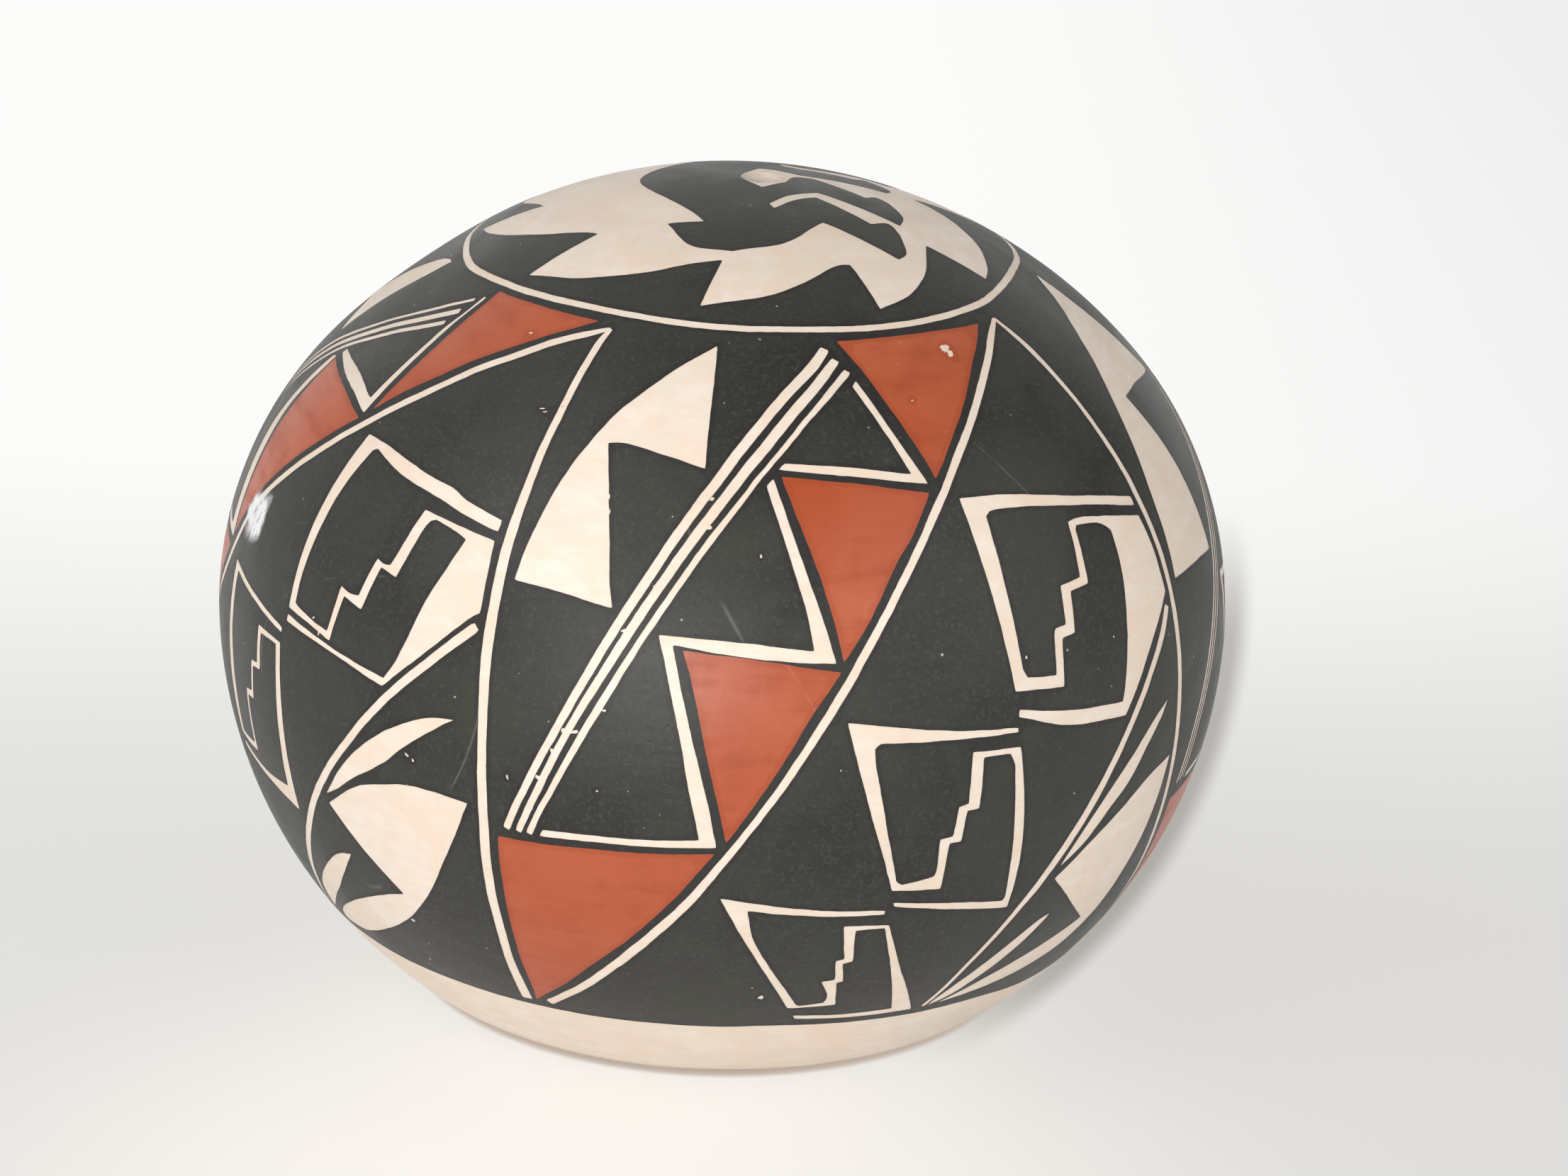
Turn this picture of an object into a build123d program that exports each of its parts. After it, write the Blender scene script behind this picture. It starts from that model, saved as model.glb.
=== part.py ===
from build123d import *
import math
import os

# Seed pot, in millimetres. It stands on z = 0 with its axis on Z; -Y is the front.

# Body
body_radius = 80.0  # at the belly, the widest place
belly_height = 60.0
pot_height = 129.0
foot_radius = 49.0  # outer edge of the flat ring it stands on
wall = 4.5  # clay alone
floor_thickness = 6.0
foot_ring_width = 9.0
base_hollow = 2.5  # rise of the shallow hollow inside the foot ring
shoulder_arc_share = 1.1483  # wall above the belly, against the half-width and rise taken together

# Clay courses, lowest first: a pad pressed in a bowl, then coils up to the crown
pad_share = 0.45  # of the belly's height
shoulder_share = 0.348  # of the rise from the belly to the crown
crown_share = 0.4875  # of the body's radius
coil_height = 15.0  # the scraped coils still show on the inside
scarf = 5.0  # slope of each lap joint, measured along the wall

# Seed hole, punched a little off the axis
hole_radius = 3.3
hole_right = 2.7
hole_back = 1.6

# Slip coat over the clay, and the paint on the slip
slip_thickness = 0.3
slip_edge_height = 2.0  # bare clay shows below this
paint_thickness = 0.2
band_share = 0.265  # lower edge of the black band, of the belly's height

# Painted lines are laid out on the pot, so they are shares of the body's radius
ring_share = 0.54  # middle of the bare line round the shoulder
ring_width_share = 0.01625
line_share = 0.01875  # bare lines between the painted fields
stripe_share = 0.01875
stripe_gap_share = 0.01
zigzag_share = 0.02375

# One overrun serves every cut
overrun = 12.0

# The band is laid out in four hand-divided panels, as shares of the full turn
panel_shares = (0.239, 0.239, 0.261, 0.261)
first_panel_angle = -110.0

# The star on the crown has nine points, also divided by hand
star_turn_shares = (0.122, 0.125, 0.110, 0.098, 0.117, 0.109, 0.107, 0.106, 0.106)
first_star_angle = -97.0

# The wall is three tangent arcs. Their radii follow from the sizes above.
crown_drop = belly_height - pot_height
shoulder_radius = -shoulder_arc_share * body_radius * crown_drop / math.hypot(body_radius, crown_drop)
shoulder_centre = body_radius - shoulder_radius
crown_arc_radius = (shoulder_radius**2 - shoulder_centre**2 - crown_drop**2) / (
    2 * (crown_drop + shoulder_radius)
)
foot_inset = body_radius - foot_radius
lower_radius = (foot_inset**2 + belly_height**2) / (2 * foot_inset)
crown_centre = pot_height - crown_arc_radius
crown_angle = math.atan2(shoulder_centre, belly_height - crown_centre)
belly_angle = math.pi / 2
clay_face = -slip_thickness
clay_inside = clay_face - wall
ring_radius = ring_share * body_radius
ring_width = ring_width_share * body_radius
line_width = line_share * body_radius
stripe_width = stripe_share * body_radius
stripe_step = stripe_width + stripe_gap_share * body_radius
zigzag_width = zigzag_share * body_radius


def wall_point(angle, offset=0.0):
    """Radius and height where the outward normal is at this angle from straight up. Offset 0 is
    the outside of the slip."""
    if angle <= crown_angle:
        reach, across, up = crown_arc_radius + offset, 0.0, crown_centre
    elif angle <= belly_angle:
        reach, across, up = shoulder_radius + offset, shoulder_centre, belly_height
    else:
        reach, across, up = lower_radius + offset, body_radius - lower_radius, belly_height
    return across + reach * math.sin(angle), up + reach * math.cos(angle)


def angle_at_height(height, offset=0.0):
    if height <= belly_height:
        return math.acos((height - belly_height) / (lower_radius + offset))
    angle = math.acos((height - belly_height) / (shoulder_radius + offset))
    if angle >= crown_angle:
        return angle
    return math.acos((height - crown_centre) / (crown_arc_radius + offset))


def angle_at_radius(radius):
    """Above the belly."""
    angle = math.asin(radius / crown_arc_radius)
    if angle <= crown_angle:
        return angle
    return math.asin((radius - shoulder_centre) / shoulder_radius)


def wall_arcs(start, end, offset):
    """Arcs of the wall's outline between two normal angles, in the XZ plane."""
    joins = [angle for angle in (crown_angle, belly_angle) if start < angle < end]
    stops = [start, *joins, end]
    arcs = []
    for low, high in zip(stops, stops[1:]):
        points = [wall_point(angle, offset) for angle in (low, (low + high) / 2, high)]
        arcs.append(ThreePointArc(*[(radius, 0, height) for radius, height in points]))
    return arcs


def line(start, end):
    return Line((start[0], 0, start[1]), (end[0], 0, end[1]))


def polyline(points):
    return [line(start, end) for start, end in zip(points, points[1:])]


def coil_points(start, end):
    """Inner outline between two seams: one straight scraped stretch for each coil."""
    first, last = wall_point(start, clay_inside), wall_point(end, clay_inside)
    count = max(1, round(math.dist(first, last) / coil_height))
    return [wall_point(start + (end - start) * step / count, clay_inside) for step in range(count + 1)]


def course(edges):
    return revolve(make_face(edges), Axis.Z)


def coat(start, end, inner, outer):
    """Coat on the wall between two normal angles and two offsets."""
    ends = [line(wall_point(angle, inner), wall_point(angle, outer)) for angle in (start, end)]
    return course([*wall_arcs(start, end, outer), *wall_arcs(start, end, inner), *ends])


def inner_seam(angle):
    """A scarf climbs from its outer edge to an inner edge further up the wall."""
    return angle - scarf / body_radius


pad_seam = angle_at_height(pad_share * belly_height, clay_face)
shoulder_seam = angle_at_height(belly_height - shoulder_share * crown_drop, clay_face)
crown_seam = angle_at_radius(crown_share * body_radius)

# Base pad: floor, hollow underside and the start of the wall
foot_angle = angle_at_height(0.0, clay_face)
foot_edge = wall_point(foot_angle, clay_face)
floor_angle = angle_at_height(floor_thickness, clay_inside)
foot_inner = foot_radius - foot_ring_width
hollow_radius = (foot_inner**2 + base_hollow**2) / (2 * base_hollow)
hollow_half = math.asin(foot_inner / hollow_radius) / 2
hollow_middle = base_hollow - hollow_radius * (1 - math.cos(hollow_half))
hollow = ThreePointArc(
    (foot_inner, 0, 0), (hollow_radius * math.sin(hollow_half), 0, hollow_middle), (0, 0, base_hollow)
)
pad_inside = coil_points(inner_seam(pad_seam), floor_angle)
base_pad = course(
    [
        *wall_arcs(pad_seam, foot_angle, clay_face),
        line(foot_edge, (foot_inner, 0)),
        hollow,
        *polyline([(0, base_hollow), (0, floor_thickness), pad_inside[-1]]),
        *polyline(pad_inside),
        line(pad_inside[0], wall_point(pad_seam, clay_face)),
    ]
)


def wall_course(upper, lower):
    inside = coil_points(inner_seam(upper), inner_seam(lower))
    sides = [wall_point(lower, clay_face), *inside[::-1], wall_point(upper, clay_face)]
    return course([*wall_arcs(upper, lower, clay_face), *polyline(sides)])


lower_wall = wall_course(shoulder_seam, pad_seam)
shoulder_wall = wall_course(crown_seam, shoulder_seam)

# Crown: the closing coils, pierced by the seed hole
crown_inside = coil_points(0.0, inner_seam(crown_seam))[1:]
crown_sides = [
    wall_point(crown_seam, clay_face),
    *crown_inside[::-1],
    (0, crown_inside[0][1]),
    wall_point(0.0, clay_face),
]
crown = course([*wall_arcs(0.0, crown_seam, clay_face), *polyline(crown_sides)])
seed_hole = Pos(hole_right, hole_back, pot_height) * Cylinder(hole_radius, 2 * overrun)
crown -= seed_hole

# Slip: one coat from just above the foot to the crown, open at the seed hole
slip_edge = angle_at_height(slip_edge_height)
cream_slip = coat(0.0, slip_edge, clay_face, 0.0) - seed_hole

# Painted areas of the side are cut by flat-sided cones that start at the middle of the belly,
# so that each painted edge runs straight over the curved wall.
centre = Vector(0, 0, belly_height)
band_top = angle_at_radius(ring_radius + ring_width / 2)
band_bottom = angle_at_height(band_share * belly_height)


def rise(angle):
    """Elevation of a wall point seen from the centre, in degrees."""
    radius, height = wall_point(angle)
    return math.degrees(math.atan2(height - belly_height, radius))


def direction(turn, elevation):
    flat = math.cos(math.radians(elevation))
    return Vector(
        flat * math.sin(math.radians(turn)),
        -flat * math.cos(math.radians(turn)),
        math.sin(math.radians(elevation)),
    )


def cone_through(directions):
    """Solid from the centre out past the wall, with one flat side for each edge."""
    middle = Vector(0, 0, 0)
    for way in directions:
        middle += way
    middle = middle.normalized()
    reach = body_radius + overrun
    corners = [centre + way * (reach / way.dot(middle)) for way in directions]
    pairs = list(zip(corners, corners[1:] + corners[:1]))
    sides = [Face(Wire.make_polygon([centre, a, b], close=True)) for a, b in pairs]
    lid = Face(Wire.make_polygon(corners, close=True))
    return Solid(Shell([*sides, lid]))


def blade_through(directions, width, shift=0.0):
    """Cone of a steady width along a painted line, with mitred corners; shift moves it sideways."""
    sides = [a.cross(b).normalized() for a, b in zip(directions, directions[1:])]
    before, after = [sides[0], *sides], [*sides, sides[-1]]
    edges = []
    for distance in (shift + width / 2, shift - width / 2):
        steps = [(a + b) * (distance / body_radius / (1 + a.dot(b))) for a, b in zip(before, after)]
        edges.append([(way + step).normalized() for way, step in zip(directions, steps)])
    return cone_through(edges[0] + edges[1][::-1])


band_low, band_high = rise(band_bottom), rise(band_top)
panel_starts = [first_panel_angle + 360 * sum(panel_shares[:index]) for index in range(len(panel_shares))]


def in_panel(index, shares):
    """Ways from the centre to points given as shares across and up one panel."""
    start, sweep = panel_starts[index], 360 * panel_shares[index]
    return [direction(start + across * sweep, band_low + up * (band_high - band_low)) for across, up in shares]


# Red triangles down each panel's long curve
red_shares = (
    ((0.502, 0.984), (0.690, 0.984), (0.879, 0.974), (0.720, 0.866), (0.605, 0.765)),
    ((0.362, 0.783), (0.588, 0.749), (0.440, 0.550)),
    ((0.238, 0.563), (0.436, 0.539), (0.302, 0.327)),
    ((0.016, 0.302), (0.290, 0.312), (0.165, 0.156), (0.022, 0.017)),
)

# Pale areas left in the black: a two-part wing, and a leaf in the lower corner
wing_shares = (
    (0.243, 0.980), (0.247, 0.790), (0.086, 0.814), (0.145, 0.606), (0.007, 0.623), (0.026, 0.735),
    (0.115, 0.900),
)
leaf_shares = (
    (0.738, 0.268), (0.860, 0.335), (0.977, 0.339), (0.940, 0.240), (0.800, 0.085), (0.616, 0.020),
    (0.844, 0.166),
)

# Bare lines: the panel's side, its long curve, three stripes and the zigzag round the triangles
side_shares = ((-0.005, 0.977), (-0.016, 0.700), (-0.002, 0.330), (0.006, 0.015))
curve_shares = ((0.048, 0.015), (0.256, 0.253), (0.477, 0.590), (0.686, 0.822), (0.941, 0.978))
stripe_shares = ((0.493, 0.955), (0.320, 0.810), (0.152, 0.550), (0.048, 0.322))
upper_zigzag_shares = ((0.510, 0.916), (0.580, 0.770), (0.363, 0.797))
lower_zigzag_shares = ((0.345, 0.775), (0.419, 0.557), (0.215, 0.576), (0.281, 0.325), (0.072, 0.318))
panel_lines = (
    (side_shares, line_width, 0.0),
    (curve_shares, line_width, 0.0),
    (upper_zigzag_shares, zigzag_width, 0.0),
    (lower_zigzag_shares, zigzag_width, 0.0),
    (stripe_shares, stripe_width, -stripe_step),
    (stripe_shares, stripe_width, 0.0),
    (stripe_shares, stripe_width, stripe_step),
)

band = coat(band_top, band_bottom, 0.0, paint_thickness)
panels = range(len(panel_shares))
red_cones = [cone_through(in_panel(index, shares)) for index in panels for shares in red_shares]
bare_cones = []
for index in panels:
    bare_cones += [cone_through(in_panel(index, shares)) for shares in (wing_shares, leaf_shares)]
    bare_cones += [
        blade_through(in_panel(index, shares), width, shift) for shares, width, shift in panel_lines
    ]
red_triangles = [band & cone for cone in red_cones]
black_band = band
for cone in red_cones + bare_cones:
    black_band -= cone

# The crown's paint is drawn in plan: a black ring round a nine-pointed star, and a figure in it
star_tip_share = 0.947  # of the bare line's radius
star_inner_share = 0.68
star_middle_share = 0.79
star_middle_step_share = 0.6  # of the turn between two tips
star_inner_step_share = 1.05


def plan(share, turn):
    reach, around = share * ring_radius, math.radians(turn)
    return (reach * math.sin(around), -reach * math.cos(around), 0)


def plan_prism(edges):
    return extrude(make_face(edges), pot_height + overrun)


star_edges = []
turn = first_star_angle
for turn_share in star_turn_shares:
    step = 360 * turn_share
    inner = plan(star_inner_share, turn + step * star_inner_step_share)
    middle = plan(star_middle_share, turn + step * star_middle_step_share)
    star_edges.append(ThreePointArc(plan(star_tip_share, turn), middle, inner))
    turn += step
    star_edges.append(Line(inner, plan(star_tip_share, turn)))

# Each step of the figure's outline has one point for a straight edge, or two for an arc
figure_start_share = (-0.136, 0.517)
figure_shares = (
    ((-0.378, 0.061), (-0.131, -0.417)), ((-0.261, -0.417),), ((-0.175, -0.578), (-0.028, -0.619)),
    ((0.153, -0.542), (0.283, -0.356)), ((0.556, -0.494),), ((0.583, -0.431), (0.558, -0.306)),
    ((0.517, -0.239), (0.453, -0.286)), ((0.256, -0.142),), ((0.183, -0.194), (0.108, -0.294)),
    ((0.089, -0.256),), ((0.156, -0.161), (0.258, -0.083)), ((0.561, -0.225),),
    ((0.569, -0.125), (0.517, -0.011)), ((0.472, 0.019), (0.433, -0.025)), ((0.239, 0.100),),
    ((0.172, 0.081), (0.144, -0.008)), ((0.058, -0.097),), ((-0.017, 0.036), (0.047, 0.194)),
    ((0.100, 0.186),), ((0.194, 0.131),), ((0.514, 0.147),), ((0.525, 0.222), (0.433, 0.322)),
    ((0.394, 0.264),), ((0.194, 0.269),), ((0.139, 0.300), (0.111, 0.361)), ((0.133, 0.378),),
    ((0.189, 0.333), (0.250, 0.328)), ((0.444, 0.374),), ((0.514, 0.350), (0.556, 0.410)),
    ((0.578, 0.466), (0.540, 0.520)), ((0.283, 0.470),), ((0.167, 0.611), (-0.028, 0.656)),
    ((-0.181, 0.633), (-0.258, 0.525)), (figure_start_share,),
)
figure_edges = []
corner = figure_start_share
for step_shares in figure_shares:
    points = [(across * ring_radius, back * ring_radius, 0) for across, back in (corner, *step_shares)]
    figure_edges.append(Line(*points) if len(points) == 2 else ThreePointArc(*points))
    corner = step_shares[-1]

ring_top = angle_at_radius(ring_radius - ring_width / 2)
crown_paint = coat(0.0, ring_top, 0.0, paint_thickness)
black_crown_ring = crown_paint - plan_prism(star_edges)
crown_figure = (crown_paint & plan_prism(figure_edges)) - seed_hole

nodes = {
    "base_pad": base_pad,
    "lower_wall": lower_wall,
    "shoulder_wall": shoulder_wall,
    "crown": crown,
    "cream_slip": cream_slip,
    "black_band": black_band,
    "red_triangles": Compound(children=[solid for piece in red_triangles for solid in piece.solids()]),
    "black_crown_ring": black_crown_ring,
    "crown_figure": crown_figure,
}

os.makedirs("parts", exist_ok=True)
for name, node in nodes.items():
    export_step(node, f"parts/{name}.step")
    print(name, round(node.volume), "mm3")
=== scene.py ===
import math

import bmesh
import bpy
from mathutils import Matrix, Vector, noise
from mathutils.geometry import delaunay_2d_cdt
from mathutils.kdtree import KDTree


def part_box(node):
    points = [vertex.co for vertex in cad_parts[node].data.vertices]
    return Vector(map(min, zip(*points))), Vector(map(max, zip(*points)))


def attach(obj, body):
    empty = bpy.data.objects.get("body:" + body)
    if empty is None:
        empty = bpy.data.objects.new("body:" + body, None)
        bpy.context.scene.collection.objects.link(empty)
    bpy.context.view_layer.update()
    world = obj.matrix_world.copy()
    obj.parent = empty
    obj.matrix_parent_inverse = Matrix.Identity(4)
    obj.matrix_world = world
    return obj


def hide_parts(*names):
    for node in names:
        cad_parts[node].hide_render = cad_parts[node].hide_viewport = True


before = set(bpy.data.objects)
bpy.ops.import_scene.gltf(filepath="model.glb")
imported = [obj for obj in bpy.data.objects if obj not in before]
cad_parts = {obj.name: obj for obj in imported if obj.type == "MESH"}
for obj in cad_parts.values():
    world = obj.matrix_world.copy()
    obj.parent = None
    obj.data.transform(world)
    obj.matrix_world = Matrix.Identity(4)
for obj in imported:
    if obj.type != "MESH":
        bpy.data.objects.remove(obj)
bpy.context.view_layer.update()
noise.seed_set(4)  # without a seed, noise_vector takes its offsets from the clock
print("frame loaded")


# the form of the pot
# A place on the wall is (turn, rise) in degrees, seen from the middle of the belly:
# turn 0 faces the viewer and grows to the right, rise grows up to the crown.

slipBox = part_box("cream_slip")
pot = {
    "bodyRadius": slipBox[1].x,
    "height": slipBox[1].z,
    "bellyHeight": 0.060,
    "footRadius": 0.049,
    "shoulderRadius": 0.060,  # arc of the wall above the belly
    "lean": 0.00126,          # the crown sits a little to the right
    # a flatter place on the left shoulder, in degrees, and how deep it is
    "flatTurn": -76, "flatRise": 46, "flatWide": 34, "flatTall": 11, "flatDepth": 0.0016,
    "handWave": 0.00022, "handScale": 2.1, "fingerWave": 0.00005, "fingerScale": 9.0,
}
footInset = pot["bodyRadius"] - pot["footRadius"]
lowerArc = (footInset ** 2 + pot["bellyHeight"] ** 2) / (2 * footInset)
shoulderOut = pot["bodyRadius"] - pot["shoulderRadius"]
crownRise = pot["height"] - pot["bellyHeight"]
crownArc = (crownRise ** 2 + shoulderOut ** 2 - pot["shoulderRadius"] ** 2) / (
    2 * (crownRise - pot["shoulderRadius"]))
crownCentre = crownRise - crownArc
joinAngle = math.atan2(shoulderOut, -crownCentre)
joinRise = math.degrees(math.atan2(crownCentre + crownArc * math.cos(joinAngle),
                                   crownArc * math.sin(joinAngle)))
bellyCentre = Vector((0, 0, pot["bellyHeight"]))


def cosOf(degrees):
    return math.cos(math.radians(degrees))


def sinOf(degrees):
    return math.sin(math.radians(degrees))


def direction(turn, rise):
    flat = cosOf(rise)
    return Vector((flat * sinOf(turn), -flat * cosOf(turn), sinOf(rise)))


def reachAt(rise, lift=0.0):
    # distance from the middle of the belly to the wall's three arcs, lift is outwards
    if rise < 0:
        out, up, radius = pot["bodyRadius"] - lowerArc, 0.0, lowerArc
    elif rise < joinRise:
        out, up, radius = shoulderOut, 0.0, pot["shoulderRadius"]
    else:
        out, up, radius = 0.0, crownCentre, crownArc
    along = out * cosOf(rise) + up * sinOf(rise)
    return along + math.sqrt(along ** 2 - out ** 2 - up ** 2 + (radius + lift) ** 2)


def handShape(point):
    # hand-built unevenness, inwards only, and the lean of the crown
    ray = point - bellyCentre
    turn = math.degrees(math.atan2(ray.x, -ray.y))
    rise = math.degrees(math.atan2(ray.z, math.hypot(ray.x, ray.y)))
    away = (turn - pot["flatTurn"] + 180) % 360 - 180
    dent = pot["flatDepth"] * math.exp(-(away / pot["flatWide"]) ** 2
                                       - ((rise - pot["flatRise"]) / pot["flatTall"]) ** 2)
    aim = ray.normalized()
    for depth, scale in ((pot["handWave"], pot["handScale"]), (pot["fingerWave"], pot["fingerScale"])):
        dent += depth * (0.5 + 0.5 * noise.noise(aim * scale)) * cosOf(rise)
    up = min(max(ray.z / crownRise, 0), 1)
    return point - aim * dent + Vector((pot["lean"] * up * up * (3 - 2 * up), 0, 0))


def onWall(turn, rise, lift=0.0):
    return handShape(bellyCentre + direction(turn, rise) * reachAt(rise, lift))


def toPlan(turn, rise):
    # the wall opened flat around the crown, so that no shape crosses a seam
    return Vector(((90 - rise) * sinOf(turn), -(90 - rise) * cosOf(turn)))


def fromPlan(spot):
    return math.degrees(math.atan2(spot.x, -spot.y)), 90 - spot.length


def riseAtHeight(height):
    # halves the span until the wall is met at this height
    low, high = -89.0, 89.0
    for _ in range(40):
        middle = (low + high) / 2
        if pot["bellyHeight"] + sinOf(middle) * reachAt(middle) < height:
            low = middle
        else:
            high = middle
    return low


def addPiece(name, mesh, node):
    piece = bpy.data.objects.new(name, mesh)
    bpy.context.scene.collection.objects.link(piece)
    mesh.shade_smooth()
    mesh.set_sharp_from_angle(angle=math.radians(40))
    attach(piece, "root")
    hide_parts(node)
    return piece


def finishMesh(work, name):
    mesh = bpy.data.meshes.new(name)
    work.to_mesh(mesh)
    work.free()
    return mesh


# clay courses

courses = {
    "slip": 0.0003, "wall": 0.0045, "scarf": 0.005, "padHeight": 0.027, "shoulderHeight": 0.084,
    "crownTurnRadius": 0.039, "floor": 0.006, "floorFlat": 0.018, "floorTurn": 0.0015,
    "footRing": 0.009, "hollow": 0.0025, "hollowSteps": 8,
    # the rounded edges of the foot ring, and where the wall stops above it in degrees
    "footRound": 0.0011, "footLift": 0.0003, "ringRound": 0.0012, "footStart": 0.6,
    "coil": 0.015, "coilSwell": 0.0005, "coilSteps": 8, "turns": 160,
}


def wallSpot(rise, lift):
    far = reachAt(rise, lift)
    return far * cosOf(rise), pot["bellyHeight"] + far * sinOf(rise)


def wallRun(start, end, lift):
    steps = max(2, round(abs(end - start) / 2))
    return [wallSpot(start + (end - start) * step / steps, lift) for step in range(steps + 1)]


def coilRun(start, end):
    # inside of the wall: the scraped coils still swell a little between their joins
    inner = -courses["slip"] - courses["wall"]
    first, last = wallSpot(start, inner), wallSpot(end, inner)
    coils = max(1, round(math.dist(first, last) / courses["coil"]))
    each = courses["coilSteps"]
    return [wallSpot(start + (end - start) * step / (coils * each),
                     inner - courses["coilSwell"] * abs(math.sin(math.pi * step / each)) ** 0.7)
            for step in range(coils * each + 1)]


def spinCourse(name, outline, node):
    work = bmesh.new()
    spots = [work.verts.new((radius, 0, height)) for radius, height in outline]
    edges = [work.edges.new((spots[index], spots[(index + 1) % len(spots)])) for index in range(len(spots))]
    bmesh.ops.spin(work, geom=spots + edges, cent=(0, 0, 0), axis=(0, 0, 1), angle=2 * math.pi,
                   steps=courses["turns"], use_merge=True)
    bmesh.ops.remove_doubles(work, verts=work.verts, dist=1e-6)
    bmesh.ops.dissolve_degenerate(work, edges=work.edges, dist=1e-7)
    bmesh.ops.recalc_face_normals(work, faces=work.faces)
    for spot in work.verts:
        spot.co = handShape(spot.co)
    return addPiece(name, finishMesh(work, name), node)


clayFace = -courses["slip"]
padRise = riseAtHeight(courses["padHeight"])
shoulderRise = riseAtHeight(courses["shoulderHeight"])
crownSeamAngle = math.asin(courses["crownTurnRadius"] / crownArc)
crownSeam = math.degrees(math.atan2(crownCentre + crownArc * math.cos(crownSeamAngle),
                                    courses["crownTurnRadius"]))
lap = math.degrees(courses["scarf"] / pot["bodyRadius"])
footRise = math.degrees(math.atan2(-pot["bellyHeight"], pot["footRadius"] - courses["slip"]))
floorRise = riseAtHeight(courses["floor"] + courses["floorTurn"])
ringInner = pot["footRadius"] - courses["footRing"]
footRun = [(pot["footRadius"] - courses["footRound"], courses["footLift"]),
           (pot["footRadius"] - 2 * courses["footRound"], 0.0), (ringInner + courses["ringRound"], 0.0)]
hollowRun = [(ringInner * (1 - step / courses["hollowSteps"]),
              courses["hollow"] * math.sin(math.pi * step / (2 * courses["hollowSteps"])))
             for step in range(courses["hollowSteps"] + 1)]
basePad = spinCourse("basePad", wallRun(padRise, footRise + courses["footStart"], clayFace)
                     + footRun + hollowRun
                     + [(0, courses["floor"]), (courses["floorFlat"], courses["floor"])]
                     + coilRun(floorRise, padRise + lap), "base_pad")
lowerWall = spinCourse("lowerWall", wallRun(shoulderRise, padRise, clayFace)
                       + coilRun(padRise + lap, shoulderRise + lap), "lower_wall")
shoulderWall = spinCourse("shoulderWall", wallRun(crownSeam, shoulderRise, clayFace)
                          + coilRun(shoulderRise + lap, crownSeam + lap), "shoulder_wall")
crownCap = spinCourse("crownCap", wallRun(90, crownSeam, clayFace) + coilRun(crownSeam + lap, 90), "crown")
print("clay courses spun")


# seed hole

seedHole = {"right": 0.0027, "back": 0.0016, "radius": 0.0033, "steps": 96,
            "worn": 0.00012, "wornScale": 1.3, "punchLength": 0.03, "punchDown": 0.004}


def holePunch():
    work = bmesh.new()
    bmesh.ops.create_cone(work, cap_ends=True, segments=seedHole["steps"], radius1=seedHole["radius"],
                          radius2=seedHole["radius"], depth=seedHole["punchLength"])
    bmesh.ops.translate(work, verts=work.verts, vec=(seedHole["right"] + pot["lean"], seedHole["back"],
                                                     pot["height"] - seedHole["punchDown"]))
    punch = bpy.data.objects.new("punch", finishMesh(work, "punch"))
    bpy.context.scene.collection.objects.link(punch)
    return punch


def punchHole(piece):
    punch = holePunch()
    cut = piece.modifiers.new("seedHole", "BOOLEAN")
    cut.object, cut.operation, cut.solver = punch, "DIFFERENCE", "EXACT"
    bpy.context.view_layer.update()
    opened = bpy.data.meshes.new_from_object(piece.evaluated_get(bpy.context.evaluated_depsgraph_get()))
    piece.modifiers.clear()
    piece.data = opened
    bpy.data.objects.remove(punch)


punchHole(crownCap)


# painted shapes
# Each shape starts at a corner. Every run that follows is smooth and ends at the next corner.

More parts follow.
